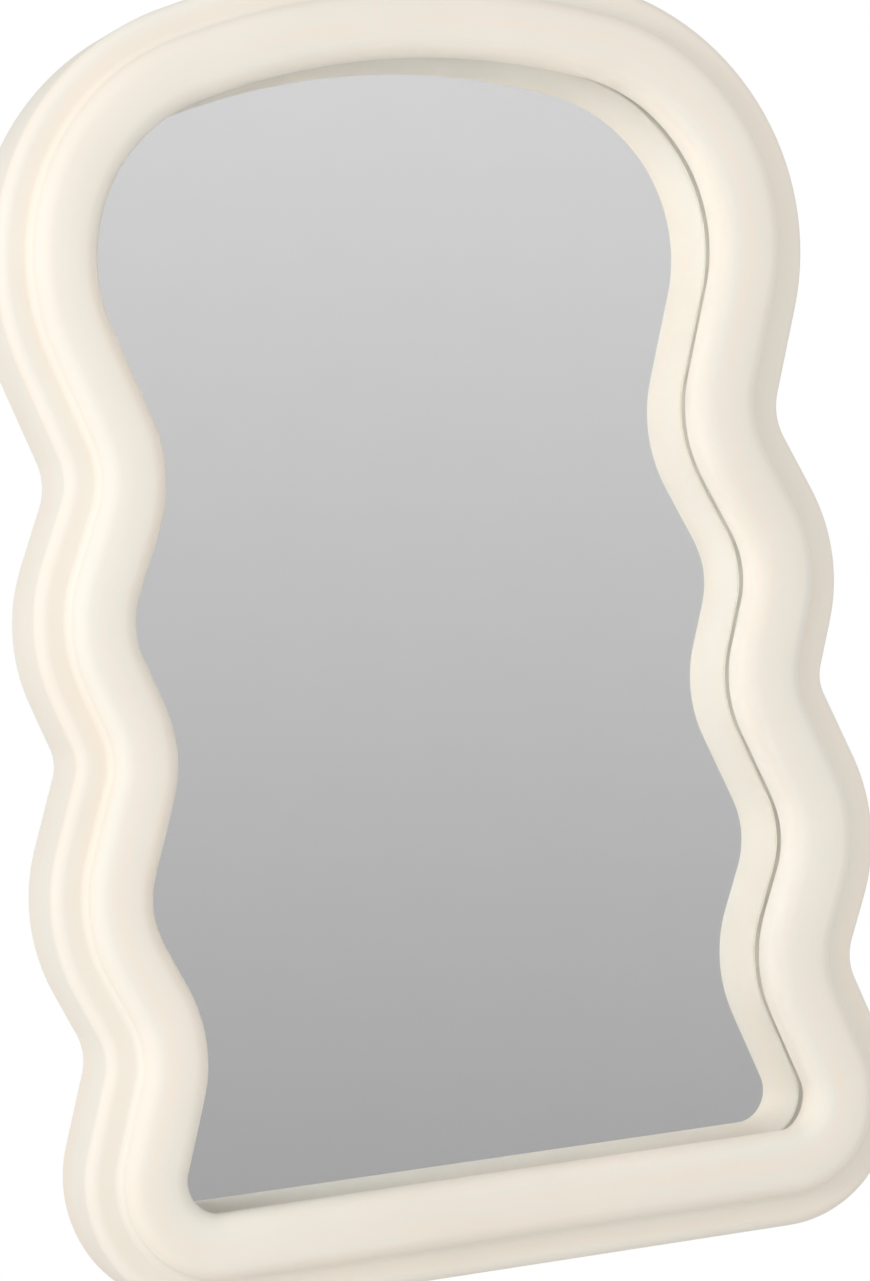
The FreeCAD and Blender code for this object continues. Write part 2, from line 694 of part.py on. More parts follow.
# Turned pieces: screws, dowels and bumpers

def turned(name, points, base, axis):
    """A body turned from a half section of straight lines, set at a base with its axis along axis."""
    body = new_body(name)
    sketch = new_sketch(body, "half_section", "XZ_Plane")
    spots = [Vector(value(across_text), value(up_text), 0) for across_text, up_text in points]
    lines = [draw_straight(sketch, one, other) for one, other in zip(spots, spots[1:] + spots[:1])]
    for one, other in zip(lines, lines[1:] + lines[:1]):
        relate(sketch, "Coincident", one, END, other, START)
    for line, (across_text, up_text) in zip(lines, points):
        if across_text == "0":
            relate(sketch, "PointOnObject", line, START, V_AXIS)
        else:
            across(sketch, line, START, across_text)
        if up_text == "0":
            relate(sketch, "PointOnObject", line, START, H_AXIS)
        else:
            upward(sketch, line, START, up_text)
    feature = body.newObject("PartDesign::Revolution", f"{name}_turning")
    feature.Profile = sketch
    feature.ReferenceAxis = (sketch, ["V_Axis"])
    feature.Angle = 360
    body.Placement = FreeCAD.Placement(base, FreeCAD.Rotation(Vector(0, 0, 1), axis))
    return body


def cut_driver_slot(body, level_text, span_text):
    """A straight slot across a screw's head."""
    sketch = new_sketch(body, "slot", "XY_Plane")
    sketch.setExpression("AttachmentOffset.Base.z", level_text)
    half_length = value(span_text)
    half_width = size("driver_slot_width") / 2
    signs = ((-1, -1), (1, -1), (1, 1), (-1, 1))
    corners = [Vector(x * half_length, y * half_width, 0) for x, y in signs]
    lines = [draw_straight(sketch, one, other) for one, other in zip(corners, corners[1:] + corners[:1])]
    for one, other in zip(lines, lines[1:] + lines[:1]):
        relate(sketch, "Coincident", one, END, other, START)
    for line in lines[::2]:
        relate(sketch, "Horizontal", line)
    for line in lines[1::2]:
        relate(sketch, "Vertical", line)
    across(sketch, lines[1], START, span_text)
    leftward(sketch, lines[0], START, span_text)
    upward(sketch, lines[2], START, "dims.driver_slot_width / 2")
    bind(sketch, "DistanceY", (lines[0], START, -1, START), half_width, "dims.driver_slot_width / 2")
    feature = body.newObject("PartDesign::Pocket", f"{sketch.Name}_pocket")
    feature.Profile = sketch
    feature.setExpression("Length", "dims.driver_slot_depth")
    body.Tip = feature


PIVOT_TOP = "dims.pivot_screw_length + dims.pan_head_height"
PIVOT_SECTION = [
    ("0", "0"),
    ("dims.screw_radius", "dims.screw_tip"),
    ("dims.screw_radius", "dims.pivot_screw_length"),
    ("dims.pan_head_radius", "dims.pivot_screw_length"),
    ("dims.pan_head_radius", "dims.pivot_screw_length + dims.pan_head_height / 2"),
    ("dims.pan_head_radius * 2 / 3", PIVOT_TOP),
    ("0", PIVOT_TOP),
]
PLATE_SCREW_SECTION = [
    ("0", "0"),
    ("dims.screw_radius", "dims.screw_tip"),
    ("dims.screw_radius", "dims.plate_screw_length - dims.flat_head_height"),
    ("dims.flat_head_radius", "dims.plate_screw_length"),
    ("0", "dims.plate_screw_length"),
]
DOWEL_SECTION = [
    ("0", "0"),
    ("dims.dowel_diameter / 2 - dims.dowel_chamfer", "0"),
    ("dims.dowel_diameter / 2", "dims.dowel_chamfer"),
    ("dims.dowel_diameter / 2", "dims.dowel_length - dims.dowel_chamfer"),
    ("dims.dowel_diameter / 2 - dims.dowel_chamfer", "dims.dowel_length"),
    ("0", "dims.dowel_length"),
]
BUMPER_SECTION = [
    ("0", "0"),
    ("dims.bumper_radius", "0"),
    ("dims.bumper_radius", "dims.bumper_thickness - dims.bumper_edge"),
    ("dims.bumper_radius - dims.bumper_edge", "dims.bumper_thickness"),
    ("0", "dims.bumper_thickness"),
]
BACKWARD = Vector(0, 1, 0)


def spot(reach, depth, height):
    """A point of the hung mirror from its reach, depth from the back and height above the bottom."""
    return Vector(reach, -depth, height - HANG_HEIGHT)


def bore(name, base, axis, radius_text, length_text):
    """A round hole to be taken out of a length of moulding."""
    hole = doc.addObject("Part::Cylinder", name)
    hole.setExpression("Radius", radius_text)
    hole.setExpression("Height", length_text)
    hole.Placement = FreeCAD.Placement(base, FreeCAD.Rotation(Vector(0, 0, 1), axis))
    return hole


def drilled(name, moulding, bores):
    piece = doc.addObject("Part::Cut", name)
    piece.Label = name
    piece.Base = moulding
    piece.Tool = group(f"{name}_bores", bores)
    return piece


def across_the_middle(flat):
    """The twin of a point or direction on the other side of the frame."""
    return Vector(-flat.x, flat.y, 0)


# Joints of the moulding

class Joint:
    """A dowelled butt joint: its middle, the direction along the moulding and the outward direction."""

    def __init__(self, name, middle, along, outward):
        self.name = name
        self.middle = middle
        self.along = Vector(along.x, 0, along.y)
        self.outward = outward

    def mirrored(self, name):
        along = Vector(-self.along.x, self.along.z, 0)
        return Joint(name, across_the_middle(self.middle), along, across_the_middle(self.outward))

    def centres(self):
        """Middles of the two dowels."""
        places = [(0, size("front_dowel_depth")), (size("back_dowel_outset"), size("back_dowel_depth"))]
        for outset, depth in places:
            point = self.middle + self.outward * outset
            yield spot(point.x, depth, point.y)

    def dowels(self):
        half = self.along * (size("dowel_length") / 2)
        return [turned(f"dowel_{self.name}_{number}", DOWEL_SECTION, centre - half, self.along)
                for number, centre in enumerate(self.centres(), start=1)]

    def bores(self, owner):
        half = self.along * (size("dowel_length") / 2 + size("dowel_clearance"))
        return [bore(f"{owner}_{self.name}_bore_{number}", centre - half, self.along,
                     "dims.dowel_diameter / 2 + dims.dowel_clearance",
                     "dims.dowel_length + 2 * dims.dowel_clearance")
                for number, centre in enumerate(self.centres(), start=1)]


# Turn buttons on the ledge behind the back board

class Seat:
    """Where a turn button pivots: a point in the plane of the frame and the inward direction."""

    def __init__(self, name, point, inward):
        self.name = name
        self.point = point
        self.inward = inward

    def mirrored(self):
        name = self.name.replace("right", "left")
        return Seat(name, across_the_middle(self.point), across_the_middle(self.inward))

    def at_depth(self, depth):
        return spot(self.point.x, depth, self.point.y)


def side_seat(name, index):
    """A seat on the straight above turn number index."""
    low, high = line_ends(index, size("button_inset"))
    return Seat(name, low + (high - low) * size("side_button_share"), LEAVING[index] * -TURNS[index].side)


def arch_point(reach, outset):
    """A point above the arch's centreline by an outset."""
    crown = size("overall_height") - OUTER_REACH
    distance = crown - ARCH_CENTRE.y + outset
    return ARCH_CENTRE + Vector(reach, math.sqrt(distance ** 2 - reach ** 2), 0)


def arch_seat(name):
    point = arch_point(size("arch_button_reach"), -size("button_inset"))
    return Seat(name, point, (ARCH_CENTRE - point).normalize())


def rail_seat(name):
    point = Vector(size("rail_button_reach"), OUTER_REACH + size("button_inset"), 0)
    return Seat(name, point, Vector(0, 1, 0))


def turn_button(seat):
    """A flat steel tongue with a round heel and a narrower round tip, drawn along its own x axis."""
    body = new_body(f"turn_button_{seat.name}")
    sketch = new_sketch(body, "outline", "XY_Plane")
    heel = size("button_heel_radius")
    tip = size("button_tip_radius")
    reach = Vector(size("button_finger"), 0, 0)
    lean = (heel - tip) / reach.x
    up = Vector(lean, math.sqrt(1 - lean ** 2), 0)
    down = Vector(up.x, -up.y, 0)
    middle = Vector(0, 0, 0)
    heel_arc = sketch.addGeometry(arc(middle, up * heel, down * heel))
    low_side = draw_straight(sketch, down * heel, reach + down * tip)
    tip_arc = sketch.addGeometry(arc(reach, reach + down * tip, reach + up * tip))
    high_side = draw_straight(sketch, reach + up * tip, up * heel)
    hole = sketch.addGeometry(Part.Circle(middle, Vector(0, 0, 1), size("button_hole_radius")))
    relate(sketch, "Tangent", heel_arc, END, low_side, START)
    relate(sketch, "Tangent", low_side, END, tip_arc, START)
    relate(sketch, "Tangent", tip_arc, END, high_side, START)
    relate(sketch, "Tangent", high_side, END, heel_arc, START)
    relate(sketch, "Coincident", heel_arc, CENTRE, -1, START)
    relate(sketch, "Coincident", hole, CENTRE, -1, START)
    relate(sketch, "PointOnObject", tip_arc, CENTRE, H_AXIS)
    across(sketch, tip_arc, CENTRE, "dims.button_finger")
    radius(sketch, heel_arc, "dims.button_heel_radius")
    radius(sketch, tip_arc, "dims.button_tip_radius")
    radius(sketch, hole, "dims.button_hole_radius")
    pad(body, sketch, "dims.button_thickness")
    inward = Vector(seat.inward.x, 0, seat.inward.y)
    turned_in = FreeCAD.Rotation(inward, BACKWARD.cross(inward), BACKWARD, "ZXY")
    base = seat.at_depth(size("ledge_height") - size("button_gap"))
    body.Placement = FreeCAD.Placement(base, turned_in)
    return body


PIVOT_HEAD_DEPTH = size("ledge_height") - 2 * size("button_gap") - size("button_thickness")
PIVOT_TIP_DEPTH = PIVOT_HEAD_DEPTH + size("pivot_screw_length")


def pivot_screw(seat):
    name = f"pivot_screw_{seat.name}"
    body = turned(name, PIVOT_SECTION, seat.at_depth(PIVOT_TIP_DEPTH), BACKWARD)
    cut_driver_slot(body, PIVOT_TOP, "dims.pan_head_radius + dims.driver_slot_width")
    return body


def pivot_bore(seat):
    base = seat.at_depth(PIVOT_TIP_DEPTH + size("pilot_clearance"))
    return bore(f"pivot_bore_{seat.name}", base, BACKWARD, "dims.screw_radius + dims.pilot_clearance",
                "dims.pivot_screw_length")


def plate_screw_places():
    for side in (1, -1):
        for rise in (1, -1):
            yield side * value(PLATE_TEXT), HANG_HEIGHT + rise * size("plate_screw_rise")


def plate_screw(number, reach, height):
    name = f"plate_screw_{number}"
    body = turned(name, PLATE_SCREW_SECTION, spot(reach, size("plate_screw_length"), height), BACKWARD)
    cut_driver_slot(body, "dims.plate_screw_length", "dims.flat_head_radius + dims.driver_slot_width")
    return body


def plate_bore(number, reach, height):
    base = spot(reach, size("plate_screw_length") + size("pilot_clearance"), height)
    return bore(f"plate_bore_{number}", base, BACKWARD, "dims.screw_radius + dims.pilot_clearance",
                "dims.plate_screw_length")


# Assembly

joint_point, joint_along = arch_joint()
arch_right = Joint("arch_right", joint_point, joint_along, LEAVING[HIGH_WAIST] * -1)
joint_point = Vector(size("rail_joint_reach"), OUTER_REACH, 0)
rail_right = Joint("rail_right", joint_point, Vector(1, 0, 0), Vector(0, -1, 0))
rail_left = rail_right.mirrored("rail_left")
arch_left = arch_right.mirrored("arch_left")

low_right = side_seat("low_right", 0)
high_right = side_seat("high_right", HIGH_WAIST - 1)
top_right = arch_seat("top_right")
bottom_right = rail_seat("bottom_right")
right_seats = [bottom_right, low_right, high_right, top_right]
seats = right_seats + [seat.mirrored() for seat in right_seats]

plate_screws = list(enumerate(plate_screw_places(), start=1))
top_bores = arch_right.bores("top") + arch_left.bores("top")
top_bores += [pivot_bore(seat) for seat in (top_right, top_right.mirrored())]
top_bores += [plate_bore(number, *place) for number, place in plate_screws]
bottom_bores = rail_right.bores("bottom") + rail_left.bores("bottom")
bottom_bores += [pivot_bore(seat) for seat in (bottom_right, bottom_right.mirrored())]
side_bores = arch_right.bores("side") + rail_right.bores("side")
side_bores += [pivot_bore(seat) for seat in (low_right, high_right)]

frame_right = drilled("frame_right", stile_moulding(), side_bores)
plate_right = keyhole_plate("keyhole_plate_right")
nodes = [
    drilled("frame_top", arch_moulding(), top_bores),
    drilled("frame_bottom", rail_moulding(), bottom_bores),
    frame_right,
    mirrored_piece("frame_left", frame_right),
    plate_right,
    mirrored_piece("keyhole_plate_left", plate_right),
]

dowels = []
for joint in (rail_right, rail_left, arch_right, arch_left):
    dowels += joint.dowels()
nodes.append(group("joint_dowels", dowels))

# Back to front: board, silver, glass, tape, lip of the frame
coat_depth = "dims.ledge_height + dims.board_thickness"
glass_depth = f"{coat_depth} + dims.coat_thickness"
tape_depth = f"{glass_depth} + dims.glass_thickness"
nodes.append(sheet_piece("backing_board", ["board_inset"], "dims.ledge_height", "dims.board_thickness"))
nodes.append(sheet_piece("silver_coat", ["glass_inset"], coat_depth, "dims.coat_thickness"))
nodes.append(sheet_piece("mirror_glass", ["glass_inset"], glass_depth, "dims.glass_thickness"))
tape_insets = ["tape_outer_inset", "tape_inner_inset"]
nodes.append(sheet_piece("glass_tape", tape_insets, tape_depth, "dims.tape_thickness"))


def setting_pad(name, side):
    """A thin pad between the bottom edge of the glass and the rebate."""
    block = doc.addObject("Part::Box", name)
    block.setExpression("Length", "dims.pad_length")
    block.setExpression("Width", "dims.glass_thickness")
    block.setExpression("Height", "dims.glass_inset - dims.rebate_inset")
    front = value(glass_depth) + size("glass_thickness")
    reach = side * size("pad_reach") - size("pad_length") / 2
    block.Placement.Base = spot(reach, front, OUTER_REACH + size("rebate_inset"))
    return block


nodes.append(group("setting_pads", [setting_pad("pad_right", 1), setting_pad("pad_left", -1)]))
nodes += [turn_button(seat) for seat in seats]
nodes.append(group("turn_button_screws", [pivot_screw(seat) for seat in seats]))
nodes.append(group("keyhole_plate_screws", [plate_screw(number, *place) for number, place in plate_screws]))

low_bumper = Vector(size("low_bumper_reach"), OUTER_REACH - size("bumper_outset"), 0)
high_bumper = arch_point(size("high_bumper_reach"), size("bumper_outset"))
for level, point in (("low", low_bumper), ("high", high_bumper)):
    for hand, side in (("right", 1), ("left", -1)):
        name = f"wall_bumper_{level}_{hand}"
        nodes.append(turned(name, BUMPER_SECTION, spot(side * point.x, 0, point.y), BACKWARD))

doc.recompute()
for thing in doc.Objects:
    if "Invalid" in thing.State or "Error" in thing.State:
        raise RuntimeError(f"{thing.Label} failed: {thing.State}")
for node in nodes:
    if node.Shape.isNull() or not node.Shape.isValid():
        raise RuntimeError(f"{node.Label} has no valid shape")

os.makedirs("parts", exist_ok=True)
for node in nodes:
    node.Shape.exportStep(f"parts/{node.Label}.step")
    box = node.Shape.BoundBox
    print(f"{node.Label}: {len(node.Shape.Solids)} solids, {node.Shape.Volume:.0f} mm3, "
          f"{box.XLength:.1f} x {box.YLength:.1f} x {box.ZLength:.1f} mm")
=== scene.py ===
import json
import math

import bpy
from mathutils import Matrix, Vector


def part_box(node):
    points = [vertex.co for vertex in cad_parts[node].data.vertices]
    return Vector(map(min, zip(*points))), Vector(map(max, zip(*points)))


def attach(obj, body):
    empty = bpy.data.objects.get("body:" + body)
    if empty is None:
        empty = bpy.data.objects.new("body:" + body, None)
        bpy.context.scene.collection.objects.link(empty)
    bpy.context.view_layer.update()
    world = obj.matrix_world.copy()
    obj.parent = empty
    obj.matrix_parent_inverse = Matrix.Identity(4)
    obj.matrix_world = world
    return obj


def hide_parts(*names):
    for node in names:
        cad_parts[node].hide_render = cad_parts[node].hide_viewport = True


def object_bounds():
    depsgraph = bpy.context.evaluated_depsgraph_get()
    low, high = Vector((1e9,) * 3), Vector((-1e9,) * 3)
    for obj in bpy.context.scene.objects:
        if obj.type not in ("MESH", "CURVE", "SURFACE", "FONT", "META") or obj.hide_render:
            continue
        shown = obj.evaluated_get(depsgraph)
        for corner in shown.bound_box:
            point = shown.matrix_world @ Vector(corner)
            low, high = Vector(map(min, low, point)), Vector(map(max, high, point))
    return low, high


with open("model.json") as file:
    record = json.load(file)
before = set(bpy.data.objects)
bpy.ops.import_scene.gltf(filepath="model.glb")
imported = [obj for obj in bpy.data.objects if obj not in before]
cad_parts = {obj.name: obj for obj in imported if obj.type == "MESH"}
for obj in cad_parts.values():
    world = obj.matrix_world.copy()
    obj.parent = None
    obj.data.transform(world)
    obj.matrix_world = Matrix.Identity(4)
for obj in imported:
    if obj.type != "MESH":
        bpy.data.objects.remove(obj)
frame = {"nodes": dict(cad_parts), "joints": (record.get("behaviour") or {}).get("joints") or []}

CAD_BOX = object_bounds()
MM = 0.001
FULL_TURN = 2 * math.pi
UP = Vector((0, 0, 1))
BACKWARD = Vector((0, 1, 0))
FRONT_AXIS = Vector((0, -1, 0))
ORIGIN = Vector((0, 0, 0))

# Sizes read from the solids
RAIL_LOW, RAIL_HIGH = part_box("frame_bottom")
BOTTOM = RAIL_LOW.z
TOP = CAD_BOX[1].z
HALF_WIDTH = (CAD_BOX[1].x - CAD_BOX[0].x) / 2
FRAME_DEPTH = -RAIL_LOW.y
RAIL_REACH = RAIL_HIGH.x
GLASS_LOW, GLASS_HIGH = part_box("mirror_glass")
COAT_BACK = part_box("silver_coat")[1].y
LIP = -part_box("glass_tape")[0].y
LEDGE = -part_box("backing_board")[1].y
PAN_TOP = -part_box("turn_button_screws")[1].y
PLATE_LOW, PLATE_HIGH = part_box("keyhole_plate_right")
PLATE_REACH = (PLATE_LOW.x + PLATE_HIGH.x) / 2
PLATE_HALF = (PLATE_HIGH.x - PLATE_LOW.x) / 2
PLATE_LENGTH = PLATE_HIGH.z - PLATE_LOW.z
PLATE_THICKNESS = PLATE_HIGH.y - PLATE_LOW.y
BUTTON_LOW, BUTTON_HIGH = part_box("turn_button_bottom_right")
BUMPER_LOW, BUMPER_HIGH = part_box("wall_bumper_low_right")

# Section of the moulding, from the back forward and from the centreline outward
OUTER_REACH = 23.5 * MM
INNER_REACH = RAIL_HIGH.z - RAIL_LOW.z - OUTER_REACH
GLASS_INSET = GLASS_LOW.z - BOTTOM - OUTER_REACH
ROLL_REACH = 8 * MM
INNER_ROLL = 9.5 * MM
ROLL_EDGE = 8 * MM
CROWN = 50 * MM
CROWN_INSET = 5 * MM
CREASE = 3.5 * MM
STEP = 44.5 * MM
STEP_EDGE = 6 * MM
BACK_EDGE = 1.5 * MM
SIGHT_INSET = 15.3 * MM
REBATE_INSET = 8 * MM
RECESS_OUTSET = 3 * MM
ARCH_JOINT = 422 * MM

# Turns of the right side from the foot up: bulge (+1) or waist (-1), reach, height, radius
TURNS = [
    (1, 174 * MM, OUTER_REACH + 36.5 * MM, 36.5 * MM),
    (-1, 158.5 * MM, 119 * MM, 48 * MM),
    (1, HALF_WIDTH - OUTER_REACH, 183.5 * MM, 64 * MM),
    (-1, 158 * MM, 252 * MM, 43 * MM),
    (1, 171 * MM, 307 * MM, 62 * MM),
    (-1, 150 * MM, 378.5 * MM, 52 * MM),
    (1, 171.5 * MM, 466.5 * MM, 99 * MM),
]
LOW_SEAT_TURN = 0
HIGH_SEAT_TURN = 4

# Fittings on the back
BUTTON_HEEL = 4.5 * MM
BUTTON_TIP = 3.5 * MM
BUTTON_FINGER = 17 * MM
BUTTON_HOLE = 1.55 * MM
DRILL_REACH = 2 * MM
BUTTON_EASE = 0.3 * MM
RIB_START = 6 * MM
RIB_LENGTH = 10 * MM
RIB_RADIUS = 1.1 * MM
RIB_TAPER = 0.8
RIB_RISE = 0.25 * MM
RIB_ROOT = 0.2 * MM
RIB_EASE = 0.22 * MM
SCREW_SHANK = 1.5 * MM
SCREW_TIP = 3 * MM
SLOT_WIDTH = 0.8 * MM
SLOT_DEPTH = 0.9 * MM
PAN_HEIGHT = 2 * MM
PAN_RADIUS = 3 * MM
PAN_EASE = 0.25 * MM
PIVOT_LENGTH = 12 * MM
PIVOT_SLOT_TURN = 1.9
FLAT_RADIUS = 3 * MM
FLAT_HEIGHT = 1.5 * MM
FLAT_DROP = 0.1 * MM
FLAT_EASE = 0.1 * MM
PLATE_SCREW_LENGTH = 14 * MM
PLATE_SCREW_RISE = 17 * MM
PLATE_SCREW_HOLE = 1.7 * MM
PLATE_SLOT_TURN = 2.3
PLATE_SLOT_START = 0.4
PLATE_ROOM = 0.3 * MM
PLATE_EASE = 0.35 * MM
KEYHOLE = 4.5 * MM
KEYSLOT = 2.25 * MM
KEYSLOT_RISE = 9 * MM
HEAD_ROOM = 6 * MM
HEAD_ROOM_DEPTH = 12 * MM
BUMPER_DISH = 0.5 * MM
BUMPER_ROUND = 0.8 * MM
BUMPER_EASE = 0.2 * MM

# The mirror: air behind the tape, how deep the silver sits in the glass, its margin, and the eased rims
TAPE_AIR = 0.05 * MM
COAT_SINK = 0.03 * MM
COAT_MARGIN = 0.8 * MM
COAT_EASE = 0.05 * MM
GLASS_EASE = 0.4 * MM

# Fineness of the round stretches, and the reach within which points and cuts meet
TURN_STEP = math.radians(3)
SECTION_STEP = math.radians(7)
FITTING_STEP = math.radians(10)
SMOOTH_ANGLE = math.radians(35)
WELD = 0.002 * MM
SEAM = 0.01 * MM
PROUD = 1 * MM
RUN_SLACK = 1 * MM
TURN_SLACK = 0.02

# The photograph's camera
VIEW_YAW = math.radians(19.382)
VIEW_PITCH = math.radians(0.163)
VIEW_ROLL = math.radians(-5.940)
VIEW_DISTANCE = 2107.9 * MM
VIEW_AIM = Vector((0.9 * MM, -16.5 * MM, -177.6 * MM))
VIEW_LENS = 128.27


# Drawing with operators

def deselect():
    bpy.ops.object.select_all(action="DESELECT")


def pick(piece):
    """Makes a piece the only selected one."""
    deselect()
    piece.select_set(True)
    bpy.context.view_layer.objects.active = piece


def start_line(point):
    """A new piece that is a single point so far, open for editing."""
    deselect()
    bpy.ops.mesh.primitive_plane_add(size=MM, location=point, enter_editmode=True)
    bpy.ops.mesh.select_mode(type="VERT")
    bpy.ops.mesh.merge(type="CENTER")


def pull(step):
    """Draws the selection straight on by a step."""
    bpy.ops.mesh.extrude_region_move(TRANSFORM_OT_translate={"value": step})


def swing(centre, axis, angle, step):
    """Draws the selection round a centre, right-handed about an axis."""
    steps = max(2, math.ceil(abs(angle) / step))
    bpy.ops.mesh.spin(steps=steps, angle=-angle, center=centre, axis=axis, use_auto_merge=False)


def weld(reach=WELD):
    """Selects the whole open piece and merges the points that lie together."""
    bpy.ops.mesh.select_all(action="SELECT")
    bpy.ops.mesh.remove_doubles(threshold=reach)


def cover():
    """Fills the selected outline with a face."""
    bpy.ops.mesh.edge_face_add()


def soften(reach):
    """Rounds the sharp edges of the open piece."""
    bpy.ops.mesh.select_mode(type="EDGE")
    bpy.ops.mesh.select_all(action="DESELECT")
    bpy.ops.mesh.edges_select_sharp(sharpness=SMOOTH_ANGLE)
    bpy.ops.mesh.bevel(offset=reach, segments=2, affect="EDGES", clamp_overlap=True)
    bpy.ops.mesh.select_mode(type="VERT")


def finish_piece(name):
    """Leaves editing with outward faces, smooth shading and the place in the mesh."""
    weld()
    bpy.ops.mesh.normals_make_consistent(inside=False)
    bpy.ops.object.mode_set(mode="OBJECT")
    bpy.ops.object.transform_apply(location=True, rotation=True, scale=True)
    bpy.ops.object.shade_smooth_by_angle(angle=SMOOTH_ANGLE)
    piece = bpy.context.object
    piece.name = name
    piece.data.name = name
    return piece


def apply_modifiers(piece):
    pick(piece)
    for modifier in list(piece.modifiers):
        bpy.ops.object.modifier_apply(modifier=modifier.name)


def combine(piece, other, operation):
    """Cuts another shape out of a piece or grows the piece by it, and removes the other."""
    change = piece.modifiers.new("change", "BOOLEAN")
    change.operation = operation
    change.solver = "EXACT"
    change.object = other
    apply_modifiers(piece)
    bpy.data.objects.remove(other)
    bpy.ops.object.shade_smooth_by_angle(angle=SMOOTH_ANGLE)


def take_out(piece, cutter):
    combine(piece, cutter, "DIFFERENCE")


def add_on(piece, addition):
    combine(piece, addition, "UNION")


def copy_to(piece, name, placement):
    """A copy of a piece with a mesh of its own, set at a placement that goes into the mesh."""
    pick(piece)
    bpy.ops.object.duplicate()
    copy = bpy.context.object
    copy.matrix_world = placement
    bpy.ops.object.transform_apply(location=True, rotation=True, scale=True)
    copy.name = name
    copy.data.name = name
    return copy


def joined(name, pieces):
    """Several pieces as one, for fasteners that share a node."""
    pick(pieces[0])
    for piece in pieces:
        piece.select_set(True)
    bpy.ops.object.join()
    pieces[0].name = name
    pieces[0].data.name = name
    return pieces[0]


# The wavy outline

def flat(reach, height):
    """A point in the plane of the frame, from its reach and its height above the bottom edge."""
    return Vector((reach, 0, BOTTOM + height))


def flip(point):
    """The twin of a point or direction on the other side of the frame."""
    return Vector((-point.x, point.y, point.z))


def bearing(direction):
    return math.atan2(direction.z, direction.x)


class Turn:
    def __init__(self, side, reach, height, radius):
        self.side = side
        self.radius = radius
        self.centre = flat(reach - side * radius, height)


def leaving(lower, upper):
    """Unit vector from a turn's centre to where the straight to the next turn leaves it."""
    along = upper.centre - lower.centre
    angle = bearing(along) - lower.side * math.acos((lower.radius + upper.radius) / along.length)
    return Vector((math.cos(angle), 0, math.sin(angle)))


def arch_centre(shoulder):
    """Centre of the arch's top curve, which touches the shoulder from outside."""
    crown = TOP - OUTER_REACH
    drop = shoulder.centre.z - crown
    reach = shoulder.centre.x
    radius = (shoulder.radius ** 2 - reach ** 2 - drop ** 2) / (2 * (drop + shoulder.radius))
    return Vector((0, 0, crown - radius))


SIDE = [Turn(*row) for row in TURNS]
LEAVING = [leaving(one, other) for one, other in zip(SIDE, SIDE[1:])]
ARCH_CENTRE = arch_centre(SIDE[-1])


def side_moves(inset=0):
    """Straights and turns of the right side at an inset, from the bottom line's end to the top's middle.

    A straight is its step, and a turn is its centre with its angle, anticlockwise from the front."""
    moves = []
    arriving = -UP
    for index, turn in enumerate(SIDE):
        last = index == len(SIDE) - 1
        away = (turn.centre - ARCH_CENTRE).normalized() if last else LEAVING[index]
        angle = (bearing(away) - bearing(arriving)) * turn.side % FULL_TURN
        moves.append((turn.centre, angle * turn.side))
        if not last:
            upper = SIDE[index + 1]
            start = turn.centre + away * (turn.radius - turn.side * inset)
            end = upper.centre - away * (upper.radius - upper.side * inset)
            moves.append((end - start, None))
            arriving = -away
    shoulder = (SIDE[-1].centre - ARCH_CENTRE).normalized()
    moves.append((ARCH_CENTRE, math.pi / 2 - bearing(shoulder)))
    return moves


def left_moves(moves):
    """The moves of the other side, from the top's middle down."""
    back = []
    for place, angle in reversed(moves):
        if angle is None:
            back.append((Vector((place.x, place.y, -place.z)), None))
        else:
            back.append((flip(place), angle))
    return back


def follow(moves):
    """Draws the selection along straights and turns."""
    for place, angle in moves:
        if angle is None:
            pull(place)
        else:
            swing(place, FRONT_AXIS, angle, TURN_STEP)


# The moulding

